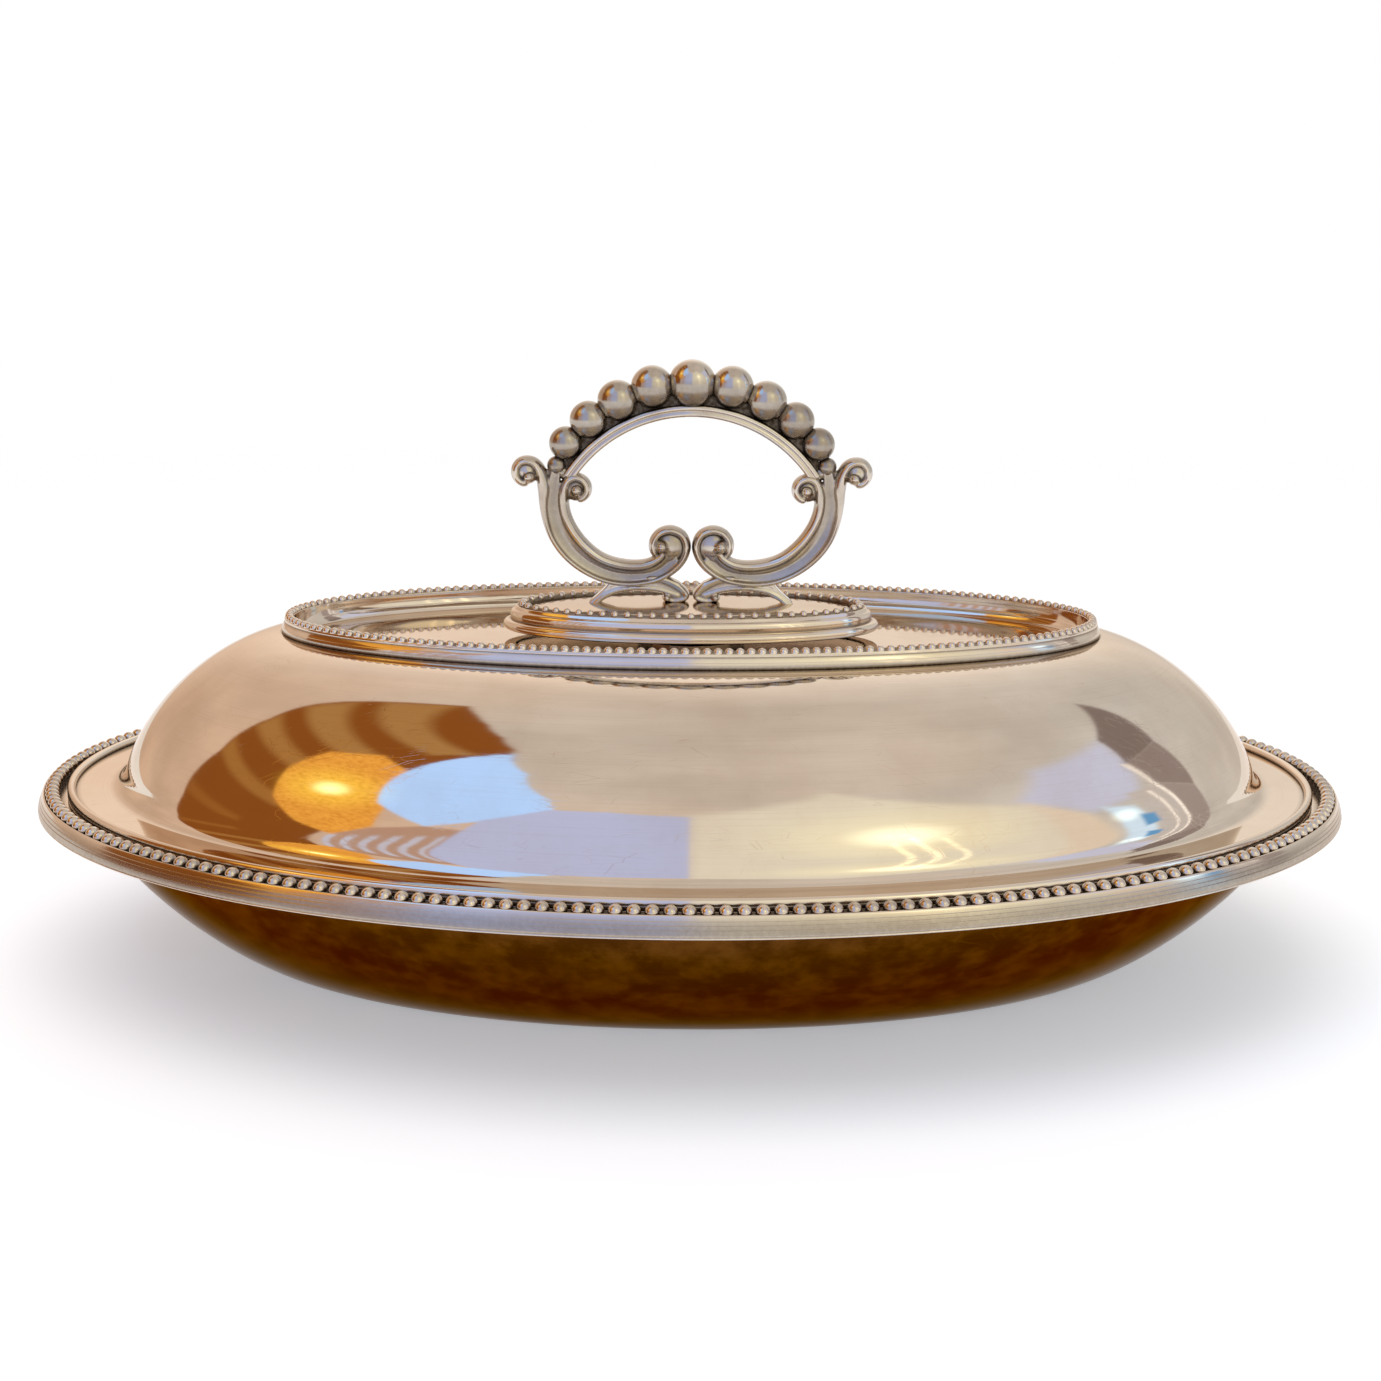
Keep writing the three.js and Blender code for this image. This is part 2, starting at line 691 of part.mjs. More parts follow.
function dishGroup() {
  const group = new THREE.Group();
  const beadOval = inset(RIM, BORDER_BEAD_INSET);
  const seat = FLANGE_TOP + FIT;
  const beads = beadRow(beadOval, seat, BORDER_BEAD, BORDER_BEAD, BORDER_BEAD_COUNT);
  group.add(piece('dish_body', dishBody(), underSilver));
  group.add(piece('border_band', borderBand(), polishedSilver));
  group.add(piece('border_beads', beads, beadSilver));
  return group;
}

function lidGroup() {
  const group = new THREE.Group();
  const beadOval = inset(GALLERY, GALLERY_BEAD_INSET);
  const seat = GALLERY_TOP + FIT;
  const beads = beadRow(beadOval, seat, GALLERY_BEAD, GALLERY_BEAD, GALLERY_BEAD_COUNT);
  group.add(piece('lid_body', lidBody(), polishedSilver));
  group.add(piece('lid_edge_wire', lidEdgeWire(), polishedSilver));
  group.add(piece('gallery_moulding', galleryMoulding(), polishedSilver));
  group.add(piece('gallery_beads', beads, beadSilver));
  group.add(piece('lid_stud', lidStud(), innerSilver));
  return group;
}

function handleGroup() {
  const group = new THREE.Group();
  const beadOval = inset(PLATE, PLATE_BEAD_INSET);
  const seat = PLATE_SEAT + FIT;
  const beads = beadRow(beadOval, seat, PLATE_BEAD, PLATE_BEAD, PLATE_BEAD_COUNT);
  group.add(piece('handle_plate', platePiece(), polishedSilver));
  group.add(piece('handle_plate_beads', beads, beadSilver));
  group.add(piece('lock_plate', lockPlate(), innerSilver));
  group.add(piece('arch_bar', archBar(), castSilver));
  for (const [side, word] of [[-1, 'left'], [1, 'right']]) {
    group.add(piece(`scroll_${word}`, scroll(side), castSilver));
    group.add(piece(`foot_bracket_${word}`, footBracket(side), castSilver));
  }
  ballChain().forEach((place, i) => {
    if (i === 0) {
      group.add(piece('ball_top', ball(place, 1), castSilver));
      return;
    }
    group.add(piece(`ball_left_${i}`, ball(place, -1), castSilver));
    group.add(piece(`ball_right_${i}`, ball(place, 1), castSilver));
  });
  return group;
}

const entreeDish = new THREE.Group();
entreeDish.add(dishGroup(), lidGroup(), handleGroup());

export default entreeDish;
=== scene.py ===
import math

import bmesh
import bpy
import numpy as np
from mathutils import Matrix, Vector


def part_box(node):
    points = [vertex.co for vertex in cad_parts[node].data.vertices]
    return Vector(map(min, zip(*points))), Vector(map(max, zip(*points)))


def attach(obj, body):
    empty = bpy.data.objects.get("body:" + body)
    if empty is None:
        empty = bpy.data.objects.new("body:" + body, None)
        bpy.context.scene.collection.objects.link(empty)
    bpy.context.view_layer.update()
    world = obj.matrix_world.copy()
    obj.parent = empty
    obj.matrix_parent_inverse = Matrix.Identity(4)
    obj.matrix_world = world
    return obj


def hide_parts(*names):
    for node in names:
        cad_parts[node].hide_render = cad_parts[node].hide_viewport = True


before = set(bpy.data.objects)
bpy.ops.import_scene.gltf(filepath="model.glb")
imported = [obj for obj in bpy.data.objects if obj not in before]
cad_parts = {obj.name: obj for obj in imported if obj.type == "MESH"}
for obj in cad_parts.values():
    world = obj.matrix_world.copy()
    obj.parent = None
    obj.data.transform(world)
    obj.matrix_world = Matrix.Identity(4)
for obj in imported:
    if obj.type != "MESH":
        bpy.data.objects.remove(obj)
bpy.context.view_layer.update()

# Oval silver-plated entree dish. Metres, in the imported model's frame: +Z up, X along the dish, and
# the origin on the table. Smooth fine-meshed pieces stand for the faceted solids.

MM = 0.001

# Camera, at the photograph's place
CAMERA_PLACE = (0.0, -447.7 * MM, 159.3 * MM)
CAMERA_PITCH = 0.219
CAMERA_ROLL = 0.0061
FOCAL_PIXELS = 2036
PHOTO_PIXELS = 1381
SENSOR = 36.0

# Dish
SHEET = 1.2 * MM
BASE_INSET = 49 * MM
WALL_TOP_INSET = 10 * MM
DISH_CURVE = 1.3
FLANGE_ROLL = 1.4 * MM
BORDER_BEAD = 2.6 * MM
BORDER_BEAD_COUNT = 228

# Lid
LID_FLANGE_WIDTH = 12 * MM
FOOT_FILLET = 3.4 * MM
FOOT_TURN = 0.2
DOME_CURVE = 1.6
SHOULDER_RISE = 1.05 * MM
GALLERY_THICKNESS = 3.2 * MM
GALLERY_BEAD = 1.9 * MM
GALLERY_BEAD_COUNT = 190
EDGE_WIRE_WIDTH = 1.8 * MM
# The outer finish starts this many points before the last one on the lid's edge
LID_EDGE_POINTS = 5

# Handle base
PLATE_STEP = 1.6 * MM
PLATE_LOWER_STEP_HEIGHT = 2.1 * MM
PLATE_UPPER_STEP_HEIGHT = 2.2 * MM
PLATE_BEAD = 1.6 * MM
PLATE_BEAD_COUNT = 64
PLATE_CROWN_INSET = 5.8 * MM
CROWN_DARKENING = 0.16

# Beads: how oblong they are, and how much their sizes vary
BEAD_LENGTH_SHARE = 1.06
BEAD_SPREAD = 0.012
BEAD_HEIGHT_SPREAD = 0.008

# Scroll handle
HANDLE_SPAN = 79.2 * MM
HANDLE_SEAT_RISE = 3.3 * MM
RIDGE_DEPTH = 2.6 * MM
CHANNEL_DEPTH = 2.1 * MM
CHANNEL_HOLLOW = 0.42
# Painted shade over the scroll channel's floor
CHANNEL_PAINTED_SHADE = 0.36
FOOT_RIDGE_DEPTH = 2.05 * MM
ARCH_BAR_DEPTH = 4.4 * MM
ARCH_BAR_THICKNESS = 2.6 * MM
ARCH_GROOVE = 0.45 * MM
ARCH_RISE = 13.1 * MM
ARCH_END_TURN = 0.06
WEB_THICKNESS = 1.6 * MM
WEB_HEIGHT_SHARE = 0.85
FOOT_DEPTH = 4.6 * MM
BALL_GAP = 0.12 * MM
BALL_RISE = 0.40 * MM
# Painted shade on the balls' lower parts, and a step darker for each ball away from the crown.
BALL_LOWER_PAINTED_SHADE = 0.42
BALL_DARKENING_STEP = BALL_LOWER_PAINTED_SHADE * 0.22
VOXEL = 0.17 * MM
SMOOTHING = 0.6
VALLEY_PASSES = 60
VALLEY_START = 0.015 * MM
VALLEY_FULL = 0.26 * MM

# Shares of HANDLE_SPAN: out from the middle, up from the scroll's foot, half-width.
OUTER_STRAND_SHARES = [
    (0.452, 0.292, 0.0115), (0.470, 0.292, 0.0130), (0.486, 0.308, 0.0140), (0.487, 0.330, 0.0145),
    (0.474, 0.347, 0.0145), (0.453, 0.351, 0.0145), (0.433, 0.342, 0.0155), (0.4165, 0.312, 0.0185),
    (0.4095, 0.278, 0.0200), (0.4105, 0.232, 0.0142), (0.404, 0.184, 0.0116), (0.3865, 0.134, 0.0106),
    (0.350, 0.084, 0.0100), (0.297, 0.043, 0.0100), (0.232, 0.016, 0.0100), (0.160, 0.010, 0.0102),
    (0.090, 0.024, 0.0108), (0.040, 0.057, 0.0115), (0.0165, 0.094, 0.0122), (0.0145, 0.122, 0.0130),
    (0.028, 0.148, 0.0135), (0.059, 0.160, 0.0138), (0.089, 0.151, 0.0135), (0.106, 0.128, 0.0128),
    (0.106, 0.103, 0.0118), (0.096, 0.087, 0.0100),
]
INNER_STRAND_SHARES = [
    (0.320, 0.243, 0.0105), (0.303, 0.250, 0.0120), (0.2915, 0.264, 0.0125), (0.2905, 0.283, 0.0125),
    (0.302, 0.299, 0.0130), (0.322, 0.306, 0.0135), (0.343, 0.298, 0.0140), (0.3545, 0.275, 0.0150),
    (0.3575, 0.238, 0.0160), (0.345, 0.184, 0.0165), (0.306, 0.124, 0.0165), (0.250, 0.079, 0.0165),
    (0.180, 0.060, 0.0165), (0.122, 0.064, 0.0155), (0.088, 0.083, 0.0140), (0.074, 0.104, 0.0125),
]
CHANNEL_SHARES = [
    (0.374, 0.336, 0.010), (0.381, 0.300, 0.015), (0.384, 0.240, 0.021), (0.375, 0.184, 0.025),
    (0.357, 0.144, 0.026), (0.328, 0.104, 0.026), (0.281, 0.067, 0.026), (0.222, 0.042, 0.025),
    (0.162, 0.036, 0.023), (0.102, 0.045, 0.022), (0.063, 0.072, 0.021), (0.050, 0.098, 0.018),
]

# Volute eyes, and the discs behind them: out, up, radius and half-depth.
EYE_SHARES = [
    (0.451, 0.307, 0.0195, 0.045),
    (0.319, 0.271, 0.0195, 0.045),
    (0.083, 0.114, 0.0220, 0.047),
]
VOLUTE_DISC_SHARES = [
    (0.459, 0.321, 0.034, 0.027),
    (0.322, 0.275, 0.035, 0.027),
    (0.062, 0.112, 0.048, 0.025),
]
CROTCH_SHARES = [
    (0.384, 0.318, 0.020, 0.018),
    (0.358, 0.320, 0.018, 0.018),
]

# Foot bracket: its flat outline, the ridge along its arch, and the ridge along its top.
FOOT_SHARES = [
    (0.306, -0.072), (0.282, -0.039), (0.248, -0.009), (0.230, 0.012), (0.150, 0.026),
    (0.076, 0.030), (0.033, 0.014), (0.006, -0.020), (0.016, -0.034), (0.050, -0.036),
    (0.064, -0.026), (0.048, -0.022), (0.090, -0.012), (0.152, -0.008), (0.208, -0.017),
    (0.250, -0.039), (0.275, -0.072),
]
ARCH_RIDGE_SHARES = [
    (0.285, -0.070, 0.010), (0.262, -0.040, 0.010), (0.222, -0.014, 0.010), (0.160, -0.002, 0.010),
    (0.095, -0.006, 0.010), (0.052, -0.018, 0.009), (0.030, -0.026, 0.008),
]
TOP_RIDGE_SHARES = [
    (0.128, 0.024, 0.011), (0.085, 0.024, 0.011), (0.044, 0.008, 0.011), (0.018, -0.014, 0.010),
    (0.014, -0.028, 0.0095), (0.030, -0.036, 0.009), (0.052, -0.038, 0.008), (0.066, -0.032, 0.008),
]
CURL_EYE_SHARES = (0.068, -0.030, 0.014, 0.036)

ARCH_SPRING_SHARE = 0.328
ARCH_SPRING_HEIGHT_SHARE = 0.326
BALL_SIZE_SHARES = [1, 0.885, 0.81, 0.745, 0.665, 0.365]

# How much each ball is fuller than in the chain of touching balls, and its share of that ball's turn.
BALL_SWELLS = [1.08, 1.09, 1.14, 1.15, 1.14, 1.20]
BALL_TURN_SHARES = [1, 0.95, 0.955, 0.966, 0.977, 0.985]
LAST_BALL_TURN_SHARE = 1.07

# Mesh fineness
OVAL_SIDES = 448
WALL_STEPS = 44
BEND_STEPS = 6
CROWN_STEPS = 12
FOOT_STEPS = 12
WIRE_STEPS = 14
FLAT_STEPS = 10
STRAND_SIDES = 28
STRAND_STEPS = 220
FOOT_STRAND_STEPS = 80
ARCH_STEPS = 160
WEB_STEPS = 12
REED_STEPS = 20
# Balls: sides and rings
BEAD_MESH = (20, 14)
EYE_MESH = (32, 24)
BALL_MESH = (56, 40)
STUDIO_MESH = (24, 16)

RANDOM_SEED = 7


# Frame sizes

def oval_of(node):
    low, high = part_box(node)
    return np.array([(high[0] - low[0]) / 2, (high[1] - low[1]) / 2])


def bottom_of(node):
    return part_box(node)[0][2]


def top_of(node):
    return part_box(node)[1][2]


RIM = oval_of("border_band")
FLANGE_TOP = top_of("dish_body")
FLANGE_BOTTOM = FLANGE_TOP - SHEET
LID_EDGE = oval_of("lid_body")
LID_UNDERSIDE = bottom_of("lid_body")
LID_FLANGE_TOP = LID_UNDERSIDE + SHEET
LID_TOP = top_of("lid_body")
LID_FOOT = LID_EDGE - LID_FLANGE_WIDTH
SHOULDER_TOP = LID_TOP + SHOULDER_RISE
GALLERY = oval_of("gallery_moulding")
GALLERY_TOP = top_of("gallery_moulding")
PLATE = oval_of("handle_plate")
PLATE_BOTTOM = bottom_of("handle_plate")
PLATE_SEAT = PLATE_BOTTOM + PLATE_LOWER_STEP_HEIGHT + PLATE_UPPER_STEP_HEIGHT
PLATE_TOP = top_of("handle_plate")
SCROLL_FOOT = PLATE_TOP + HANDLE_SEAT_RISE


# Mesh tools

def smoothstep(low, high, value):
    share = np.clip((value - low) / (high - low), 0, 1)
    return share * share * (3 - 2 * share)


def new_piece(name, points, faces, patina_and_shade=None, slots=None, material_index=None):
    """A smooth-shaded mesh object with its patina_and_shade shares, from 0 on the surface to 1 in a
    crevice: dark patina, and painted shade on some pieces.
    """
    mesh = bpy.data.meshes.new(name)
    mesh.from_pydata(np.asarray(points).tolist(), [], faces)
    mesh.validate()
    mesh.shade_smooth()
    if patina_and_shade is not None:
        write_patina_and_shade(mesh, patina_and_shade)
    for material in slots or []:
        mesh.materials.append(material)
    if material_index is not None:
        mesh.polygons.foreach_set("material_index", np.asarray(material_index, np.int32))
    return add_object(name, mesh)


def add_object(name, data):
    made = bpy.data.objects.new(name, data)
    bpy.context.scene.collection.objects.link(made)
    return made


def write_patina_and_shade(mesh, patina_and_shade):
    layer = mesh.attributes.new("patina_and_shade", "FLOAT", "POINT")
    layer.data.foreach_set("value", np.asarray(patina_and_shade, np.float32))


def station(oval, z, patina_and_shade=0.0, bend=0.0):
    """One corner of a profile: an oval's half-sizes, its height, its share of dark patina and painted
    shade, and its bend's reach.
    """
    return np.array([oval[0], oval[1], z, patina_and_shade]), bend


def stations(oval, base, rows):
    """Corners of a profile from rows of inset, rise above the base, share of dark patina and painted shade,
    and bend. Lengths are in mm.
    """
    made = []
    for inset, rise, patina_and_shade, bend in rows:
        made.append(station(oval - inset * MM, base + rise * MM, patina_and_shade, bend * MM))
    return made


def profile(corners, looped=False):
    """The profile's points, with each corner that has a bend rounded off."""
    made = []
    count = len(corners)
    for i, (here, bend) in enumerate(corners):
        at_end = not looped and i in (0, count - 1)
        if bend <= 0 or at_end:
            made.append(here)
            continue
        before = corners[(i - 1) % count][0]
        after = corners[(i + 1) % count][0]
        start = here + (before - here) * reach(here, before, bend)
        end = here + (after - here) * reach(here, after, bend)
        made += [bent(start, here, end, k / BEND_STEPS) for k in range(BEND_STEPS + 1)]
    return made


def bent(start, corner, end, t):
    """A place on the smooth bend from start to end, with t from 0 to 1."""
    return start * (1 - t) ** 2 + corner * 2 * t * (1 - t) + end * t ** 2


def reach(here, other, bend):
    x, y, z = here[:3] - other[:3]
    length = math.sqrt((x ** 2 + y ** 2) / 2 + z ** 2)
    return min(bend / length, 0.5)


def wall(rim, end, rim_z, end_z, curve, first_turn=0.0):
    """Stations of a curved wall, upright at its rim and level at its end."""
    made = []
    for i in range(WALL_STEPS + 1):
        turn = first_turn + (math.pi / 2 - first_turn) * i / WALL_STEPS
        across = 1 - max(math.cos(turn), 0) ** (2 / curve)
        along = math.sin(turn) ** (2 / curve)
        made.append(station(rim + (end - rim) * across, rim_z + (end_z - rim_z) * along))
    return made


def flat(oval, z, outward):
    """Stations over a flat oval, out from its middle or in towards it."""
    shares = np.linspace(0.004, 1, FLAT_STEPS)
    made = [station(oval * share, z) for share in shares[:-1]]
    return made if outward else made[::-1]


def band_faces(sides, here, after):
    """Faces between two rings of points, from the places of each ring's first point."""
    rows = zip(range(sides), [*range(1, sides), 0])
    return [(here + k, here + m, after + m, after + k) for k, m in rows]


def oval_piece(name, points, looped=False, slots=None, slot_of=None):
    """Sweeps a profile round the ovals. slot_of gives a material's place for each point of the profile."""
    rows = np.array(points)
    sides = OVAL_SIDES
    turns = 2 * math.pi * np.arange(sides) / sides
    x = rows[:, 0:1] * np.cos(turns)
    y = rows[:, 1:2] * np.sin(turns)
    z = np.repeat(rows[:, 2:3], sides, axis=1)
    verts = np.stack([x, y, z], axis=-1).reshape(-1, 3)
    patina_and_shade = np.repeat(rows[:, 3], sides)
    count = len(rows)
    bands = count if looped else count - 1
    faces = []
    for i in range(bands):
        faces += band_faces(sides, i * sides, (i + 1) % count * sides)
    places = [slot_of(i) for i in range(bands) for _ in range(sides)] if slot_of else None
    if not looped:
        faces.append(tuple(range(sides - 1, -1, -1)))
        faces.append(tuple((count - 1) * sides + k for k in range(sides)))
        if places:
            places += [slot_of(0), slot_of(bands - 1)]
    piece = new_piece(name, verts, faces, patina_and_shade, slots, places)
    face_out(piece.data)
    write_wrap(piece.data, rows, sides, bands)
    return piece


def face_out(mesh):
    """Turns the faces round if the mesh is inside out."""
    mesh.calc_loop_triangles()
    corners = np.empty(len(mesh.loop_triangles) * 3, np.int32)
    mesh.loop_triangles.foreach_get("vertices", corners)
    places = vertices_of(mesh)[corners].reshape(-1, 3, 3)
    volume = np.einsum("ij,ij->i", places[:, 0], np.cross(places[:, 1], places[:, 2])).sum()
    if volume < 0:
        mesh.flip_normals()


def vertices_of(mesh):
    places = np.empty(len(mesh.vertices) * 3, np.float32)
    mesh.vertices.foreach_get("co", places)
    return places.reshape(-1, 3).astype(float)


def write_wrap(mesh, rows, sides, bands):
    """A map in metres: the way round the oval, then the way along the profile."""
    steps = np.diff(rows[:, :3], axis=0)
    lengths = np.sqrt((steps[:, 0] ** 2 + steps[:, 1] ** 2) / 2 + steps[:, 2] ** 2)
    along = np.concatenate([[0], np.cumsum(lengths)])
    girth = math.pi * (rows[:, 0].max() + rows[:, 1].max())
    corner = np.empty(len(mesh.loops), np.int32)
    mesh.loops.foreach_get("vertex_index", corner)
    turn = (corner % sides) / sides
    face_of = np.repeat(np.arange(len(mesh.polygons)), [p.loop_total for p in mesh.polygons])
    seam = (face_of % sides == sides - 1) & (turn < 0.25) & (face_of < bands * sides)
    turn = np.where(seam, turn + 1, turn)
    flat_map = np.stack([turn * girth, along[np.minimum(corner // sides, len(along) - 1)]], axis=-1)
    layer = mesh.uv_layers.new(name="Wrap")
    layer.data.foreach_set("uv", flat_map.astype(np.float32).ravel())


def unit_sphere(sides, rings):
    """Points and faces of a ball of radius 1, with its poles on Z."""
    points = [(0, 0, 1)]
    for i in range(1, rings):
        tilt = math.pi * i / rings
        width = math.sin(tilt)
        for k in range(sides):
            turn = 2 * math.pi * k / sides
            points.append((width * math.cos(turn), width * math.sin(turn), math.cos(tilt)))
    points.append((0, 0, -1))
    faces = [(0, 1 + k, 1 + (k + 1) % sides) for k in range(sides)]
    for i in range(rings - 2):
        row = 1 + i * sides
        for k in range(sides):
            m = (k + 1) % sides
            faces.append((row + k, row + sides + k, row + sides + m, row + m))
    last = len(points) - 1
    row = 1 + (rings - 2) * sides
    faces += [(row + k, last, row + (k + 1) % sides) for k in range(sides)]
    return np.array(points, float), faces


def spaced_turns(oval, count):
    """Turns round an oval that split it into equal lengths."""
    fine = np.linspace(0, 2 * math.pi, 24 * count + 1)
    steps = np.hypot(np.diff(oval[0] * np.cos(fine)), np.diff(oval[1] * np.sin(fine)))
    along = np.concatenate([[0], np.cumsum(steps)])
    return np.interp(np.arange(count) * along[-1] / count, along, fine)


# Beads

def bead_row(name, node, bead, count, material, chance, width_share=1.0, sink=0.0):
    """A wire of oblong beads in place of the node, with painted shade on their lower halves, on a dark
    half-round wire that sink raises.
    """
    ball, ball_faces = unit_sphere(*BEAD_MESH)
    oval = oval_of(node) - bead / 2
    seat = bottom_of(node) - 0.3 * MM
    top = top_of(node)
    pitch = math.pi * (oval[0] + oval[1]) / count
    # Each bead is darkened on its lower half with painted shade, and with patina where it meets its
    # neighbours.
    ball_patina_and_shade = np.maximum(smoothstep(0.10, -0.45, ball[:, 2]), smoothstep(0.80, 1.0, np.abs(ball[:, 1])))
    points, faces, patina_and_shade = [], [], []
    for turn in spaced_turns(oval, count):
        across = bead / 2 * width_share * (1 + chance.normal(0, BEAD_SPREAD))
        along = min(bead / 2 * BEAD_LENGTH_SHARE * (1 + chance.normal(0, BEAD_SPREAD)), pitch / 2 * 0.99)
        high = (top - seat) * 0.5 * (1 + chance.normal(0, BEAD_HEIGHT_SPREAD))
        start = len(points)
        points += list(bead_points(ball, oval, turn, top - high, (across, along, high)))
        faces += [tuple(start + v for v in face) for face in ball_faces]
        patina_and_shade += list(ball_patina_and_shade)
    core = (bead * width_share * 0.9, (top - seat) * (0.45 + sink))
    add_core(points, faces, patina_and_shade, oval, seat, core, count)
    return new_piece(name, points, faces, patina_and_shade, [material])


def bead_points(ball, oval, turn, z, sizes):
    """The unit ball's points, as a bead of these half-sizes that lies along the oval."""
    across, along, high = sizes
    tangent = np.array([-oval[0] * math.sin(turn), oval[1] * math.cos(turn), 0])
    tangent /= np.linalg.norm(tangent)
    outward = np.array([tangent[1], -tangent[0], 0])
    centre = np.array([oval[0] * math.cos(turn), oval[1] * math.sin(turn), z])
    flat_part = centre + ball[:, 0:1] * across * outward + ball[:, 1:2] * along * tangent
    return flat_part + ball[:, 2:3] * np.array([0, 0, high])


def add_core(points, faces, patina_and_shade, oval, seat, core, count):
    """The dark half-round wire under a row of beads. core holds its width and height."""
    width, height = core
    sides = 2 * count
    half = [(0.5, 0.0), (0.46, 0.45), (0.25, 0.85)]
    section = half + [(0.0, 1.0)] + [(-out, up) for out, up in half[::-1]]
    first = len(points)
    for out, up in section:
        length, breadth = oval + out * width
        for turn in 2 * math.pi * np.arange(sides) / sides:
            points.append((length * math.cos(turn), breadth * math.sin(turn), seat + up * height))
            patina_and_shade.append(1.0)
    for i in range(len(section)):
        faces += band_faces(sides, first + i * sides, first + (i + 1) % len(section) * sides)


# Shells

def make_bowl(outside, inside):
    """The dish: floor, curved wall and flange, with the bead channel dark, painted shade under the flange,
    and a painted reflection of a brown table on its outside.
    """
    base = RIM - BASE_INSET
    wall_top = RIM - WALL_TOP_INSET
    edge = oval_of("dish_body")
    channel = oval_of("border_beads") - BORDER_BEAD
    outer = wall(wall_top, base, FLANGE_BOTTOM, 0, DISH_CURVE)[::-1]
    # Painted shade under the flange, darkening out to its edge.
    outer[-1] = station(wall_top, FLANGE_BOTTOM, 0.25, FLANGE_ROLL)
    inner = wall(wall_top - SHEET, base - SHEET, FLANGE_TOP, SHEET, DISH_CURVE)
    inner[0] = station(wall_top - SHEET, FLANGE_TOP, 0.0, FLANGE_ROLL)
    corners = flat(base, 0, True) + outer
    corners += [station(edge, FLANGE_BOTTOM, 0.6), station(edge, FLANGE_TOP, 1.0)]
    corners += stations(channel, FLANGE_TOP, [(-0.4, 0, 1.0, 0), (1.1, 0, 0.35, 0), (1.8, 0, 0.0, 0)])
    corners += inner + flat(base - SHEET, SHEET, False)
    points = profile(corners)
    edge_place = min(i for i, row in enumerate(points) if row[2] > FLANGE_BOTTOM + 1e-6)
    return oval_piece("bowl", points, slots=[outside, inside], slot_of=lambda i: int(i >= edge_place))


def make_rim_band(material):
    """Smooth outer band: a thin lower lip, a broad swelling and a lip that leans over the bead channel. Its
    lower half is darkened as a painted reflection of a dark table.
    """
    bottom, top = bottom_of("border_band"), top_of("border_band")
    lip = oval_of("border_beads") + 0.1 * MM
    channel = FLANGE_TOP - 0.1 * MM
    # The lower rows' dark shares paint a dark table's reflection on the band's lower half; the lip rows
    # carry patina by the beads.
    corners = stations(RIM, bottom, [
        (1.35, 0.10, 0.6, 0), (0.75, 0, 0.5, 0.3), (0.28, 0.03, 0.3, 0.2), (0.03, 0.28, 0, 0.12),
        (0.16, 0.50, 0.6, 0.08), (0, 0.72, 0.56, 0.16), (0.15, 1.45, 0.54, 0.5), (0.37, 2.25, 0.50, 0.6),
        (0.66, 3.00, 0.41, 0.6), (0.96, 3.68, 0.24, 0.5),
    ])
    corners += stations(RIM, top, [(1.26, -0.10, 0, 0.3), (1.50, 0, 0, 0.15)])
    corners += [station(lip, top - 0.45 * MM, 0.75, 0.15 * MM), station(lip + 0.1 * MM, channel, 1.0)]
    corners += stations(RIM, channel, [(1.35, 0, 1.0, 0)])
    return oval_piece("rim_band", profile(corners, looped=True), looped=True, slots=[material])


def make_lid(outside, inside):
    """The lid: flange, concave foot, dome and flat top."""
    outer = wall(LID_FOOT, GALLERY, LID_FLANGE_TOP, SHOULDER_TOP, DOME_CURVE, FOOT_TURN)
    foot = bezier_foot(outer[0][0])
    outer[-1] = station(GALLERY + 0.25 * MM, SHOULDER_TOP - 0.01 * MM, 0.55)
    hollow = wall(LID_FOOT - SHEET, GALLERY - SHEET, LID_UNDERSIDE, LID_TOP - SHEET, DOME_CURVE)
    hollow[0] = station(LID_FOOT - SHEET, LID_UNDERSIDE, 0.0, FOOT_FILLET / 2)
    gallery_inner = GALLERY - GALLERY_THICKNESS
    wire_inner = LID_EDGE - EDGE_WIRE_WIDTH
    corners = flat(GALLERY - SHEET, LID_TOP - SHEET, True) + hollow[::-1]
    corners += stations(LID_EDGE, LID_UNDERSIDE, [(0, 0, 0.3, 0.25)])
    corners += stations(LID_EDGE, LID_FLANGE_TOP, [(0, 0, 0.5, 0.2)])
    corners += stations(wire_inner, LID_FLANGE_TOP, [(-0.1, 0, 0.9, 0), (0.55, 0, 0.25, 0), (1.2, 0, 0, 0)])
    corners += foot + outer
    corners += stations(GALLERY, SHOULDER_TOP, [(0.4, 0, 1.0, 0), (1.2, 0, 1.0, 0)])
    corners += stations(GALLERY, LID_TOP, [(1.2, 0, 1.0, 0)])
    corners += stations(gallery_inner, LID_TOP, [(-0.4, 0, 1.0, 0), (0.25, 0, 0.5, 0), (0.9, 0, 0, 0)])
    corners += flat(gallery_inner - 2 * MM, LID_TOP, False)
    points = profile(corners)
    edge_place = max(i for i, row in enumerate(points) if row[0] >= LID_EDGE[0] - 1e-6)
    inner_count = edge_place - LID_EDGE_POINTS
    return oval_piece("lid_dome", points, slots=[inside, outside], slot_of=lambda i: int(i >= inner_count))


def bezier_foot(dome_start):
    """The concave bend between the flange and the dome."""
    start = station(LID_FOOT + FOOT_FILLET, LID_FLANGE_TOP)[0]
    corner = station(LID_FOOT + 0.15 * MM, LID_FLANGE_TOP)[0]
    return [(bent(start, corner, dome_start, k / FOOT_STEPS), 0.0) for k in range(FOOT_STEPS)]


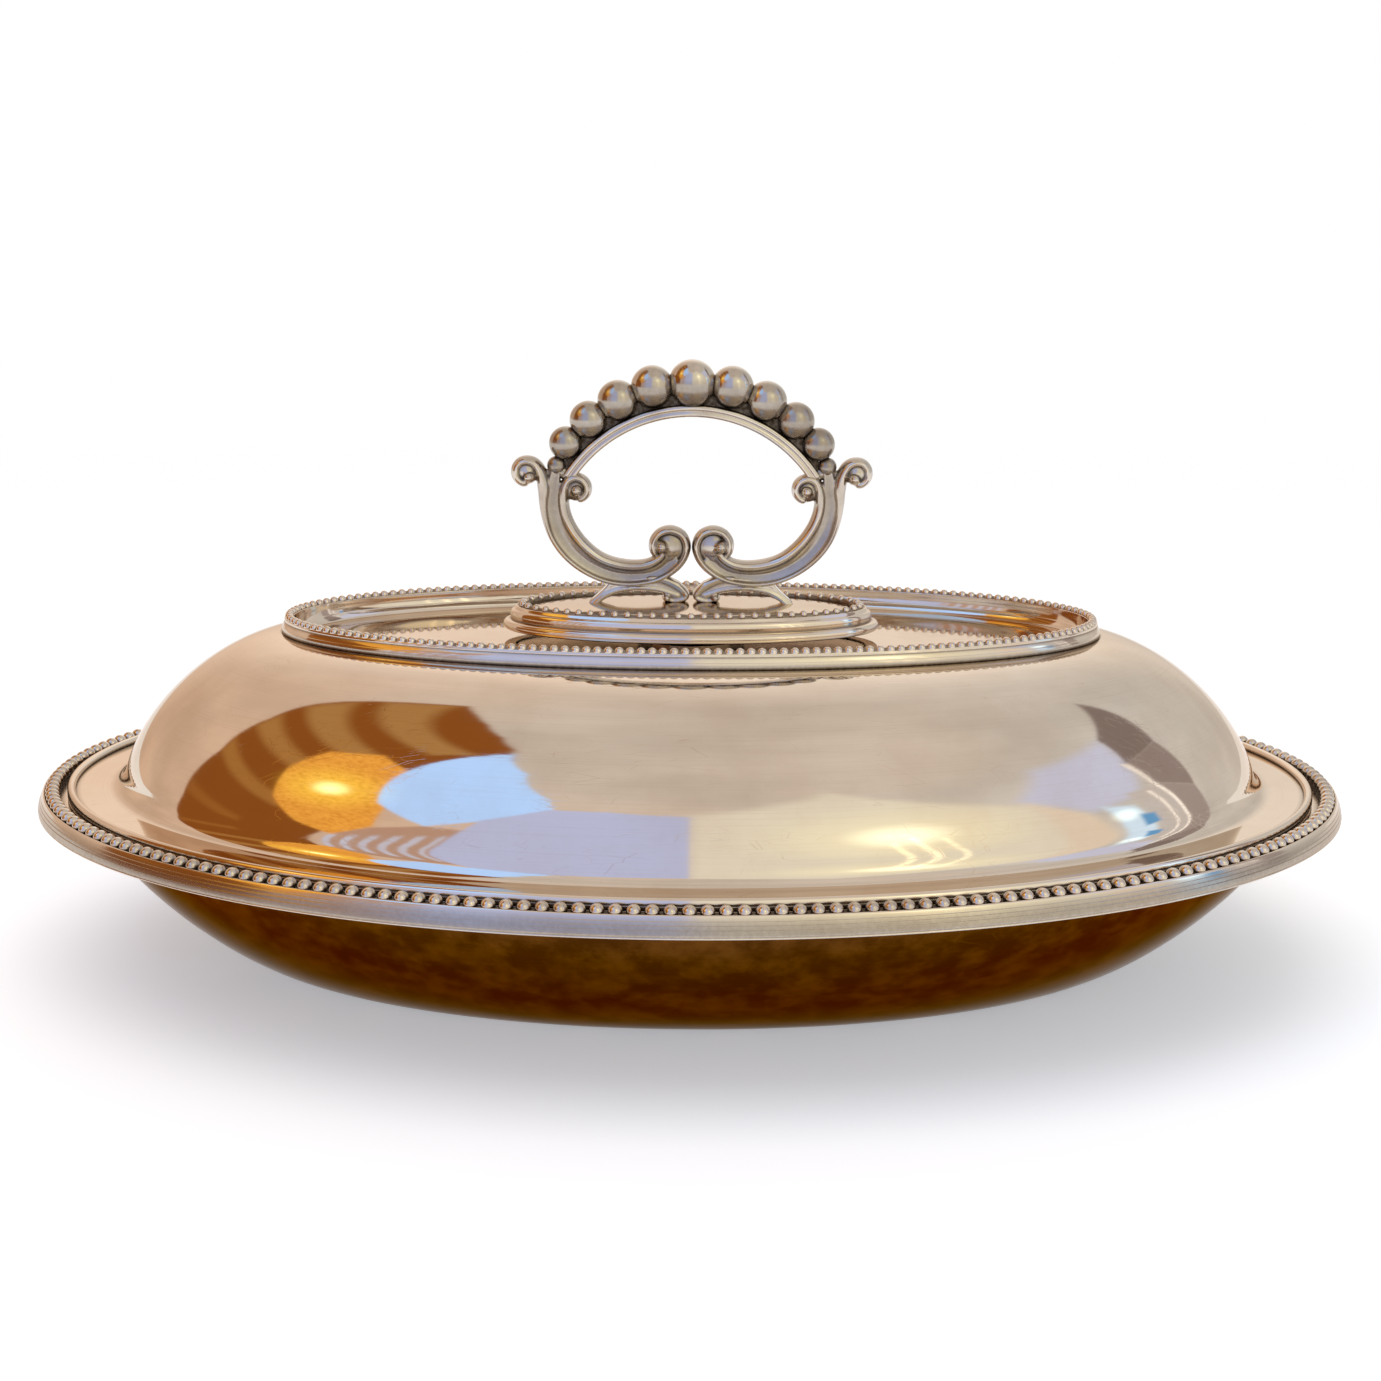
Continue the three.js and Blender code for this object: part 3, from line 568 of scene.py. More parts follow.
def make_lid_wire(material):
    """Half-round wire on the edge of the lid's flange."""
    height = top_of("lid_edge_wire") - LID_FLANGE_TOP
    rows = []
    for k in range(WIRE_STEPS + 1):
        turn = math.pi * k / WIRE_STEPS
        inset = EDGE_WIRE_WIDTH / 2 * (1 - math.cos(turn))
        rise = height * math.sin(turn) ** 0.8
        patina_and_shade = float(smoothstep(0.45, 0.0, math.sin(turn)))
        rows.append(station(LID_EDGE - inset, LID_FLANGE_TOP - 0.02 * MM + rise, patina_and_shade)[0])
    return oval_piece("lid_rim_wire", rows, looped=True, slots=[material])


def make_gallery(material):
    """Gallery moulding: a broad reed with painted shade below it, and two lips that hide the beads' lower
    part.
    """
    foot = LID_TOP - 0.02 * MM
    beads = top_of("gallery_beads")
    # The lower outer face carries painted shade under the reed.
    corners = stations(GALLERY, foot, [(0.60, 0.2, 0.9, 0)])
    corners += stations(GALLERY, SHOULDER_TOP, [
        (0.55, -0.3, 0.9, 0), (0.06, 0.02, 0.95, 0), (-0.04, 0.25, 0.85, 0.15), (-0.06, 0.72, 0.55, 0.2),
        (0.02, 1.15, 0.05, 0.35),
    ])
    corners += stations(GALLERY, GALLERY_TOP, [
        (0.24, -0.35, 0, 0.4), (0.50, 0.15, 0.15, 0.25), (0.64, 0.38, 0.8, 0.08), (0.58, 0.58, 0.1, 0.10),
    ])
    corners += stations(GALLERY, beads, [
        (0.66, -1.16, 0, 0.12), (0.86, -1.06, 0.05, 0.10), (1.00, -1.40, 0.5, 0.1), (2.40, -1.40, 0.5, 0.1),
        (2.52, -1.12, 0.1, 0.10), (2.70, -1.14, 0, 0.15),
    ])
    corners += stations(GALLERY, GALLERY_TOP, [(2.86, -0.30, 0, 0.4)])
    corners += stations(GALLERY, foot, [
        (3.02, 2.0, 0, 0.7), (3.32, 1.1, 0, 0.7), (3.80, 0.36, 0, 0.4), (4.15, 0.06, 0.1, 0.15),
        (4.25, 0, 0.3, 0),
    ])
    return oval_piece("gallery_reeds", profile(corners, looped=True), looped=True, slots=[material])


def make_base_plate(outside):
    """The handle's domed base with its two steps, hollow below, with painted shade on its underside."""
    lower = PLATE_BOTTOM + PLATE_LOWER_STEP_HEIGHT
    hollow = PLATE - PLATE_STEP - SHEET
    ceiling = PLATE_SEAT - SHEET
    # The hollow and the lower edge are darkened with painted shade.
    corners = [
        station(hollow * 0.02, ceiling, 0.6),
        station(hollow, ceiling, 0.6, 0.6 * MM),
        station(hollow, PLATE_BOTTOM, 0.6, 0.2 * MM),
    ]
    corners += stations(PLATE, PLATE_BOTTOM, [
        (0.45, 0, 0.35, 0.25), (0.02, 0.45, 0, 0.35), (0, 1.15, 0, 0.5),
    ])
    corners += stations(PLATE, lower, [
        (0.35, -0.25, 0, 0.45), (1.15, 0.02, 0.1, 0.3), (1.62, 0.05, 0.8, 0.10), (1.62, 0.45, 0.1, 0.2),
        (1.56, 1.10, 0, 0.4),
    ])
    corners += stations(PLATE, PLATE_SEAT, [(1.85, -0.28, 0, 0.35), (2.45, 0.05, 0, 0.2)])
    corners += stations(PLATE, top_of("handle_plate_beads"), [
        (2.90, -1.22, 0, 0.12), (3.14, -1.16, 0.05, 0.1), (3.30, -1.45, 0.5, 0.1),
    ])
    corners += stations(PLATE, PLATE_SEAT, [(5.20, 0.15, 0.35, 0.1)])
    return oval_piece("base_plate", profile(corners + plate_crown()), slots=[outside])


def plate_crown():
    """Stations up the handle base's domed middle, which is a little darker all over."""
    crown = PLATE - PLATE_CROWN_INSET
    made = []
    for k in range(CROWN_STEPS):
        share = k / CROWN_STEPS
        height = (PLATE_TOP - PLATE_SEAT) * math.sqrt(1 - (1 - share) ** 2.2)
        patina_and_shade = float(smoothstep(0.05, 0.0, share)) * 0.5 + CROWN_DARKENING
        made.append(station(crown * (1 - share * 0.94), PLATE_SEAT + height, patina_and_shade))
    return made + [station(crown * 0.03, PLATE_TOP, CROWN_DARKENING)]


# Handle

def handle_points(shares):
    """Middle line and half-widths of a strand, from its shares."""
    rows = np.array(shares) * HANDLE_SPAN
    line = np.stack([rows[:, 0], np.zeros(len(rows)), rows[:, 1] + SCROLL_FOOT], axis=-1)
    return line, rows[:, 2]


def smooth_line(points, steps):
    """A centripetal Catmull-Rom curve through the points, with its parameter in points."""
    ends = [2 * points[0] - points[1], 2 * points[-1] - points[-2]]
    padded = np.vstack([ends[0], points, ends[1]])
    gaps = np.sqrt(np.linalg.norm(np.diff(padded, axis=0), axis=1))
    knots = np.concatenate([[0], np.cumsum(gaps)])
    where = np.linspace(0, len(points) - 1, steps + 1)
    made = []
    for place in where:
        i = min(int(place), len(points) - 2)
        p, k = padded[i:i + 4], knots[i:i + 4]
        t = k[1] + (place - i) * (k[2] - k[1])
        a = [((k[j + 1] - t) * p[j] + (t - k[j]) * p[j + 1]) / (k[j + 1] - k[j]) for j in range(3)]
        b = [((k[j + 2] - t) * a[j] + (t - k[j]) * a[j + 1]) / (k[j + 2] - k[j]) for j in range(2)]
        made.append(((k[2] - t) * b[0] + (t - k[1]) * b[1]) / (k[2] - k[1]))
    return np.array(made), where


def strand(shares, depth, steps=STRAND_STEPS, power=1.75, hollow=0.0):
    """A tapering bar of one half-depth along a flat curve, with rounded ends.

    A higher power squares its section, and hollow is the share by which its middle is shallower."""
    line, half_widths = handle_points(shares)
    centre, where = smooth_line(line, steps)
    half = np.interp(where, np.arange(len(half_widths)), half_widths)
    tangent = np.gradient(centre, axis=0)
    tangent /= np.linalg.norm(tangent, axis=1)[:, None]
    sideways = np.stack([-tangent[:, 2], np.zeros(len(tangent)), tangent[:, 0]], axis=-1)
    turns = 2 * math.pi * np.arange(STRAND_SIDES) / STRAND_SIDES
    across = powered(np.cos(turns), 2 / power)
    deep = powered(np.sin(turns), 2 / power) * (1 - hollow * (1 - across ** 2))
    length = np.concatenate([[0], np.cumsum(np.linalg.norm(np.diff(centre, axis=0), axis=1))])
    from_end = np.minimum(length, length[-1] - length)
    rounding = np.sqrt(1 - (1 - np.clip(from_end / half, 0, 1)) ** 2)
    rings = []
    for i in range(len(centre)):
        swell = max(rounding[i], 0.02)
        ring = centre[i] + np.outer(across * half[i] * swell, sideways[i])
        ring[:, 1] += deep * depth * swell
        rings.append(ring)
    return tube(rings)


def powered(values, power):
    """Each value's power, with the value's own sign."""
    return np.sign(values) * np.abs(values) ** power


def tube(rings):
    """Points and faces of a closed tube through rings with equal counts."""
    sides = len(rings[0])
    faces = [tuple(range(sides - 1, -1, -1))]
    for i in range(len(rings) - 1):
        faces += band_faces(sides, i * sides, (i + 1) * sides)
    faces.append(tuple((len(rings) - 1) * sides + k for k in range(sides)))
    return np.vstack(rings), faces


def eye(shares):
    out, up, radius, depth = (share * HANDLE_SPAN for share in shares)
    ball, faces = unit_sphere(*EYE_MESH)
    return ball * np.array([radius, depth, radius]) + np.array([out, 0, up + SCROLL_FOOT]), faces


def block(shares, depth):
    """A flat plate with a smooth outline."""
    line, _ = handle_points([(out, up, 0) for out, up in shares])
    front, back = line.copy(), line.copy()
    front[:, 1], back[:, 1] = -depth / 2, depth / 2
    count = len(line)
    faces = [tuple(range(count)), tuple(range(2 * count - 1, count - 1, -1))]
    faces += [(k, count + k, count + (k + 1) % count, (k + 1) % count) for k in range(count)]
    return np.vstack([front, back]), faces


def remeshed(name, parts):
    """One fine mesh for the whole of several closed parts that run into each other."""
    points, faces = [], []
    for part_points, part_faces in parts:
        start = sum(len(done) for done in points)
        points.append(part_points)
        faces += [tuple(start + v for v in face) for face in part_faces]
    rough = new_piece(name + "_rough", np.vstack(points), faces)
    recalculate_normals(rough.data)
    remesh = rough.modifiers.new("Remesh", "REMESH")
    remesh.mode = "VOXEL"
    remesh.voxel_size = VOXEL
    depsgraph = bpy.context.evaluated_depsgraph_get()
    mesh = bpy.data.meshes.new_from_object(rough.evaluated_get(depsgraph))
    bpy.data.objects.remove(rough)
    mesh.name = name
    return mesh


def fused(name, parts, material, smoothing, shaded=None):
    """Joins closed parts into one cast piece, softens it and marks its valleys as recesses.

    shaded gives further shares of painted shade for the points' places."""
    mesh = remeshed(name, parts)
    links = edges_of(mesh)
    places = smoothed(vertices_of(mesh), links, smoothing)
    mesh.vertices.foreach_set("co", places.astype(np.float32).ravel())
    mesh.update()
    mesh.shade_smooth()
    patina_and_shade = valleys(mesh, places, links)
    if shaded:
        patina_and_shade = np.maximum(patina_and_shade, shaded(places))
    write_patina_and_shade(mesh, patina_and_shade)
    mesh.materials.clear()
    mesh.materials.append(material)
    return add_object(name, mesh)


def recalculate_normals(mesh):
    work = bmesh.new()
    work.from_mesh(mesh)
    bmesh.ops.recalc_face_normals(work, faces=work.faces)
    work.to_mesh(mesh)
    work.free()


def edges_of(mesh):
    ends = np.empty(len(mesh.edges) * 2, np.int32)
    mesh.edges.foreach_get("vertices", ends)
    return ends.reshape(-1, 2)


def smoothed(places, links, passes):
    """Moves each point towards the middle of its neighbours."""
    count = len(places)
    degree = np.bincount(links.ravel(), minlength=count).astype(float)
    for _ in range(passes):
        middle = np.empty_like(places)
        for axis in range(3):
            gathered = np.bincount(links[:, 0], places[links[:, 1], axis], count)
            gathered += np.bincount(links[:, 1], places[links[:, 0], axis], count)
            middle[:, axis] = gathered / degree
        places = places + SMOOTHING * (middle - places)
    return places


def valleys(mesh, places, links):
    """How far each point lies below a smoother copy of the surface, as a recess share."""
    normals = np.empty(len(mesh.vertices) * 3, np.float32)
    mesh.vertex_normals.foreach_get("vector", normals)
    below = ((smoothed(places, links, VALLEY_PASSES) - places) * normals.reshape(-1, 3)).sum(axis=1)
    return smoothstep(VALLEY_START, VALLEY_FULL, below)


def mirrored(piece, name):
    """A copy of a piece on the other side of the handle."""
    mesh = piece.data.copy()
    mesh.name = name
    mesh.transform(Matrix.Diagonal((-1, 1, 1, 1)))
    mesh.flip_normals()
    return add_object(name, mesh)


def make_scrolls(material):
    """Two thin ridges with a broad channel between them, ending in filled volutes. The channel's floor
    carries painted shade.
    """
    parts = [
        strand(OUTER_STRAND_SHARES, RIDGE_DEPTH),
        strand(INNER_STRAND_SHARES, RIDGE_DEPTH, power=2.0),
        strand(CHANNEL_SHARES, CHANNEL_DEPTH, power=6.0, hollow=CHANNEL_HOLLOW),
    ]
    parts += [eye(shares) for shares in EYE_SHARES + VOLUTE_DISC_SHARES + CROTCH_SHARES]

    # Painted shade over the channel's floor, between the ridges.
    def channel_painted_shade(places):
        return CHANNEL_PAINTED_SHADE * smoothstep(RIDGE_DEPTH * 0.85, CHANNEL_DEPTH * 0.6, np.abs(places[:, 1]))

    right = fused("right_scroll", parts, material, 6, channel_painted_shade)
    return right, mirrored(right, "left_scroll")


def make_feet(material):
    """Bracket with a ridge along its arch and another along its top, which ends in a curl."""
    parts = [
        block(FOOT_SHARES, FOOT_DEPTH * 0.72),
        strand(ARCH_RIDGE_SHARES, FOOT_RIDGE_DEPTH, steps=FOOT_STRAND_STEPS, power=2.0),
        strand(TOP_RIDGE_SHARES, FOOT_RIDGE_DEPTH, steps=FOOT_STRAND_STEPS, power=2.0),
        eye(CURL_EYE_SHARES),
    ]
    right = fused("right_foot", parts, material, 5)
    return right, mirrored(right, "left_foot")


def arch_circle():
    """Radius, centre height and half-turn of the arch bar's middle line."""
    spring = ARCH_SPRING_SHARE * HANDLE_SPAN
    spring_z = SCROLL_FOOT + ARCH_SPRING_HEIGHT_SHARE * HANDLE_SPAN
    radius = (spring ** 2 + ARCH_RISE ** 2) / (2 * ARCH_RISE)
    return radius, spring_z + ARCH_RISE - radius, math.asin(spring / radius)


def arc_sweep(section, start, end, steps):
    """Sweeps a section, as out and across, along the arch."""
    radius, centre_z, _ = arch_circle()
    rings = []
    for turn in np.linspace(start, end, steps + 1):
        rings.append(np.array([
            ((radius + out) * math.sin(turn), across, centre_z + (radius + out) * math.cos(turn))
            for out, across in section
        ]))
    return tube(rings)


def make_arch(material):
    """Two-reeded bar that runs into the scrolls, and the webs between the balls on it, dark with painted
    shade.
    """
    radius, centre_z, half_turn = arch_circle()
    thick = ARCH_BAR_THICKNESS
    parts = [arc_sweep(reeded_section(), -half_turn - ARCH_END_TURN, half_turn + ARCH_END_TURN, ARCH_STEPS)]
    chain = ball_chain()
    for ball, lower in zip(chain, chain[1:]):
        height = min(ball[0], lower[0]) * WEB_HEIGHT_SHARE
        web = [
            (thick * 0.3, -WEB_THICKNESS / 2), (thick * 0.3, WEB_THICKNESS / 2),
            (thick / 2 + height, WEB_THICKNESS / 3), (thick / 2 + height, -WEB_THICKNESS / 3),
        ]
        parts.append(arc_sweep(web, ball[2], lower[2], WEB_STEPS))
        parts.append(arc_sweep(web, -lower[2], -ball[2], WEB_STEPS))

    # The webs above the bar are darkened fully: painted shade between the balls.
    def under_balls(places):
        distance = np.hypot(places[:, 0], places[:, 2] - centre_z)
        return smoothstep(radius + thick * 0.42, radius + thick * 0.62, distance)

    return fused("arch", parts, material, 1, under_balls)


def reeded_section():
    """The arch bar's section: two reeds on each face, with a groove between them."""
    section = []
    for face in (-1, 1):
        for k in range(REED_STEPS):
            share = (k + 0.5) / REED_STEPS
            out = ARCH_BAR_THICKNESS * (0.5 - share) * face
            reed = abs(math.sin(2 * math.pi * share)) ** 0.6
            section.append((-out, face * (ARCH_BAR_DEPTH / 2 - ARCH_GROOVE * (1 - reed))))
    return section


def ball_chain():
    """Balls from the crown down one side, each beside the last and seated on the bar."""
    radius, _, spring_turn = arch_circle()
    seat = radius + ARCH_BAR_THICKNESS / 2 + BALL_GAP
    pairs = [(a + b) / 2 for a, b in zip(BALL_SIZE_SHARES, BALL_SIZE_SHARES[1:])]
    middle_share = BALL_SIZE_SHARES[len(BALL_SIZE_SHARES) // 2]
    span = spring_turn * LAST_BALL_TURN_SHARE
    top_ball = (span * seat - len(pairs) * BALL_GAP) / (sum(pairs) - span * middle_share / 2)
    balls = []
    turn = 0.0
    for share in BALL_SIZE_SHARES:
        size = share * top_ball / 2
        distance = seat + size
        if balls:
            last_size, last_distance, _ = balls[-1]
            apart = last_size + size + BALL_GAP
            squares = last_distance ** 2 + distance ** 2 - apart ** 2
            turn += math.acos(squares / (2 * last_distance * distance))
        balls.append((size, distance, turn))
    return [(*ball[:2], ball[2] * share) for ball, share in zip(balls, BALL_TURN_SHARES)]


def ball_place(ball, side):
    """Middle of one of the chain's balls, on one side of the arch: -1 is left and 1 is right."""
    _, distance, turn = ball
    centre_z = arch_circle()[1]
    return np.array([side * distance * math.sin(turn), 0.0, centre_z + distance * math.cos(turn)])


def make_ball(name, chain, place, side, material):
    """A ball, dark where it meets the bar and its neighbours, with painted shade on its lower part, and
    darker the further it lies from the crown.
    """
    unit, faces = unit_sphere(*BALL_MESH)
    centre = ball_place(chain[place], side)
    neighbours = [ball_place(chain[1], 1), ball_place(chain[1], -1)]
    if place > 0:
        neighbours = [ball_place(ball, side) for ball in chain[place - 1:place + 2:2]]
    to_bar = np.array([0, 0, arch_circle()[1]]) - centre
    to_bar /= np.linalg.norm(to_bar)
    patina_and_shade = smoothstep(0.60, 0.88, unit @ to_bar)
    for other in neighbours:
        way = (other - centre) / np.linalg.norm(other - centre)
        patina_and_shade = np.maximum(patina_and_shade, smoothstep(0.80, 0.94, unit @ way))
    # Painted shade on the lower part of the ball.
    patina_and_shade = np.maximum(patina_and_shade, BALL_LOWER_PAINTED_SHADE * smoothstep(0.25, -0.15, unit[:, 2]))
    # Each ball further from the crown is a step darker.
    patina_and_shade = np.maximum(patina_and_shade, BALL_DARKENING_STEP * place)
    size = chain[place][0]
    swollen = size * BALL_SWELLS[place]
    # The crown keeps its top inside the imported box, and the others rise a little off the bar
    centre = centre + to_bar * (swollen - size + 0.001 * MM if place == 0 else -BALL_RISE)
    return new_piece(name, centre + unit * swollen, faces, patina_and_shade, [material])


# Materials

def new_material(name):
    """A material and its empty node tree."""
    material = bpy.data.materials.new(name)
    material.use_nodes = True
    material.node_tree.nodes.clear()
    return material, material.node_tree


def add_node(tree, kind, inputs=None, **settings):
    made = tree.nodes.new("ShaderNode" + kind)
    for key, value in settings.items():
        setattr(made, key, value)
    for key, value in (inputs or {}).items():
        if isinstance(value, bpy.types.NodeSocket):
            tree.links.new(value, made.inputs[key])
        else:
            made.inputs[key].default_value = value
    return made


def calc(tree, operation, first, second=0.0, clamp=False):
    made = add_node(tree, "Math", {0: first, 1: second}, operation=operation, use_clamp=clamp)
    return made.outputs[0]


def times(tree, first, second):
    return calc(tree, "MULTIPLY", first, second)


def plus(tree, first, second):
    return calc(tree, "ADD", first, second)


def vector_calc(tree, operation, first, second=(0.0, 0.0, 0.0)):
    made = add_node(tree, "VectorMath", {0: first, 1: second}, operation=operation)
    return made.outputs["Value" if operation in ("DOT_PRODUCT", "LENGTH") else "Vector"]


def scaled(tree, vector, factor):
    return add_node(tree, "VectorMath", {0: vector, "Scale": factor}, operation="SCALE").outputs[0]


def object_place(tree):
    return add_node(tree, "TexCoord").outputs["Object"]


def ramp(tree, value, low, high, to_low=0.0, to_high=1.0, smooth=True):
    inputs = {"Value": value, "From Min": low, "From Max": high, "To Min": to_low, "To Max": to_high}
    kind = "SMOOTHSTEP" if smooth else "LINEAR"
    return add_node(tree, "MapRange", inputs, interpolation_type=kind, clamp=True).outputs[0]


def mixed(tree, share, first, second):
    inputs = {0: share, 6: first, 7: second}
    return add_node(tree, "Mix", inputs, data_type="RGBA").outputs[2]


def noise(tree, vector, scale, detail=2.0, roughness=0.5):
    inputs = {"Vector": vector, "Scale": scale, "Detail": detail, "Roughness": roughness}
    return add_node(tree, "TexNoise", inputs).outputs[0]


def stretched(tree, vector, scale, turn=(0.0, 0.0, 0.0)):
    inputs = {"Vector": vector, "Rotation": turn, "Scale": scale}
    return add_node(tree, "Mapping", inputs).outputs[0]


def scratches(tree, vector, length, turn, width):
    """Short hairlines: the edges of long thin cells, cut into pieces by a noise. 1 on a scratch."""
    spot = stretched(tree, vector, (1 / length, 9 / length, 9 / length), turn)
    spot = vector_calc(tree, "ADD", spot, noise(tree, vector, 0.6 / length, 1.0))
    cells = add_node(tree, "TexVoronoi", {"Vector": spot, "Scale": 1.0}, feature="DISTANCE_TO_EDGE")
    line = ramp(tree, cells.outputs["Distance"], 0.0, width, 1.0, 0.0)
    gaps = ramp(tree, noise(tree, vector, 1.3 / length, 3.0, 0.6), 0.56, 0.66)
    return times(tree, line, gaps)


def with_hairlines(tree, tone, rough, tarnish, heights, depth):
    """Adds the fine lines of polishing, which run round the oval."""
    wrap = add_node(tree, "UVMap", uv_map="Wrap").outputs[0]
    lines = noise(tree, stretched(tree, wrap, (22.0, 2400.0, 1.0)), 1.0, 4.0, 0.65)
    heights.append(times(tree, lines, depth))
    rough = plus(tree, rough, ramp(tree, lines, 0.45, 0.75, 0.0, 0.035))
    tone = mixed(tree, ramp(tree, lines, 0.48, 0.74, 0.0, 0.20), tone, tarnish)
    return tone, rough


def with_scratches(tree, place, tone, rough, tarnish, heights, depth):
    """Adds short scratches in three directions."""
    marks = scratches(tree, place, 0.017, (0.3, 0.2, 0.35), 0.020)
    for length, turn in ((0.011, (0.5, 0.4, -0.9)), (0.023, (-0.4, 0.9, 0.1))):
        marks = calc(tree, "MAXIMUM", marks, scratches(tree, place, length, turn, 0.018))
    heights.append(times(tree, marks, -depth))
    rough = plus(tree, rough, times(tree, marks, 0.06))
    tone = mixed(tree, times(tree, marks, 0.5), tone, tarnish)
    return tone, rough


def silver(
    name, base, tarnish, patina_and_shade_colour, roughness, hairline=0.0, scratch=0.0, wave=0.0, ripple=0.0,
    mottle=0.25, edge_tint=(1, 1, 1, 1), cloud_scale=42.0,
):
    """Silver plate: cloudy tarnish, dark patina in recesses with painted shade where the pieces ask for it,
    and marks and unevenness in mm of height.
    """
    material, tree = new_material(name)
    place = object_place(tree)
    patina_and_shade = add_node(tree, "Attribute", attribute_name="patina_and_shade").outputs["Fac"]
    cloud = noise(tree, place, cloud_scale, 6.0, 0.62)
    speck = noise(tree, place, 1100.0, 3.0, 0.6)
    tone = mixed(tree, ramp(tree, cloud, 0.38, 0.70, 0.0, mottle), base, tarnish)
    rough = ramp(tree, cloud, 0.35, 0.70, roughness * 0.8, roughness * 1.3)
    heights = []
    for scale, detail, roughness_share, depth in ((24.0, 1.0, 0.4, wave), (420.0, 2.0, 0.5, ripple)):
        if depth:
            heights.append(times(tree, noise(tree, place, scale, detail, roughness_share), depth))
    if hairline:
        tone, rough = with_hairlines(tree, tone, rough, tarnish, heights, hairline)
    if scratch:
        tone, rough = with_scratches(tree, place, tone, rough, tarnish, heights, scratch)
    # The patina_and_shade share darkens towards the patina colour: patina in crevices, and painted shade
    # and painted reflection where pieces ask for it.
    patchy = ramp(tree, speck, 0.30, 0.62, 0.84, 1.0, smooth=False)
    patina_and_shade_mask = calc(tree, "MULTIPLY", patina_and_shade, patchy, clamp=True)
    rough = plus(tree, rough, times(tree, patina_and_shade_mask, 0.30))
    tone = mixed(tree, patina_and_shade_mask, tone, patina_and_shade_colour)
    shader = add_node(tree, "BsdfPrincipled", {
        "Base Color": tone, "Metallic": 1.0, "Roughness": rough, "Specular Tint": edge_tint,
    })
    add_relief(tree, shader, heights)
    add_node(tree, "OutputMaterial", {"Surface": shader.outputs[0]})
    return material


def add_relief(tree, shader, heights):
    """Bumps the surface by the sum of the heights, in mm."""
    if not heights:
        return
    height = heights[0]
    for other in heights[1:]:
        height = plus(tree, height, other)
    bump = add_node(tree, "Bump", {"Strength": 1.0, "Distance": MM, "Height": height})
    tree.links.new(bump.outputs[0], shader.inputs["Normal"])


WARM_SILVER = (0.83, 0.745, 0.645, 1)
CAST_SILVER = (0.70, 0.635, 0.55, 1)
BEAD_SILVER = (0.76, 0.67, 0.57, 1)
SMALL_BEAD_SILVER = (0.80, 0.71, 0.61, 1)
INNER_SILVER = (0.74, 0.68, 0.61, 1)
ROSY_TARNISH = (0.66, 0.52, 0.40, 1)
BROWN_TARNISH = (0.34, 0.26, 0.19, 1)
# Dark patina colours, which also serve for painted shade.
PATINA_AND_SHADE = (0.085, 0.060, 0.038, 1)
LIGHT_PATINA_AND_SHADE = (0.27, 0.215, 0.155, 1)
# The bowl's outside: a painted reflection of a brown wooden table, with amber patches and a brown edge
# tint.
UNDERSIDE_PAINTED_REFLECTION_BROWN = (0.086, 0.029, 0.006, 1)
UNDERSIDE_PAINTED_REFLECTION_AMBER = (0.21, 0.080, 0.016, 1)
UNDERSIDE_PAINTED_REFLECTION_EDGE = (0.56, 0.41, 0.28, 1)
POLISHED_EDGE = (0.88, 0.81, 0.74, 1)
# Dark patina of the cast parts, which also serves for painted shade.
CAST_PATINA_AND_SHADE = (0.045, 0.030, 0.018, 1)


def make_materials():
    return {
        "polished": silver(
            "polished_silver", WARM_SILVER, ROSY_TARNISH, PATINA_AND_SHADE, 0.045,
            hairline=0.0008, scratch=0.0022, wave=0.12, mottle=0.30, edge_tint=POLISHED_EDGE,
        ),
        "moulding": silver(
            "moulding_silver", WARM_SILVER, ROSY_TARNISH, PATINA_AND_SHADE, 0.07,
            wave=0.02, ripple=0.0006, mottle=0.35, edge_tint=POLISHED_EDGE,
        ),
        "bead": silver(
            "bead_silver", BEAD_SILVER, BROWN_TARNISH, PATINA_AND_SHADE, 0.15, ripple=0.006, mottle=0.4,
        ),
        "small_bead": silver(
            "small_bead_silver", SMALL_BEAD_SILVER, ROSY_TARNISH, LIGHT_PATINA_AND_SHADE, 0.14,
            ripple=0.003, mottle=0.5,
        ),
        "cast": silver(
            "cast_silver", CAST_SILVER, BROWN_TARNISH, CAST_PATINA_AND_SHADE, 0.14, ripple=0.010, mottle=0.55,
        ),
        "inner": silver(
            "inner_silver", INNER_SILVER, ROSY_TARNISH, PATINA_AND_SHADE, 0.30,
            scratch=0.002, ripple=0.002, mottle=0.4,
        ),
        # Painted reflection of a brown table over the bowl's outside.
        "under": silver(
            "under_silver", UNDERSIDE_PAINTED_REFLECTION_BROWN, UNDERSIDE_PAINTED_REFLECTION_AMBER, PATINA_AND_SHADE, 0.12,
            hairline=0.0004, scratch=0.002, wave=0.30, ripple=0.002, mottle=0.80,
            edge_tint=UNDERSIDE_PAINTED_REFLECTION_EDGE, cloud_scale=130.0,
        ),
    }


# Studio

def make_camera():
    data = bpy.data.cameras.new("camera")
    data.lens = SENSOR * FOCAL_PIXELS / PHOTO_PIXELS
    data.sensor_width = SENSOR
    data.clip_start = 0.01
    data.clip_end = 50
    camera = add_object("camera", data)
    tilt = Matrix.Rotation(math.pi / 2 - CAMERA_PITCH, 4, "X") @ Matrix.Rotation(CAMERA_ROLL, 4, "Z")
    camera.matrix_world = Matrix.Translation(CAMERA_PLACE) @ tilt
    bpy.context.scene.camera = camera


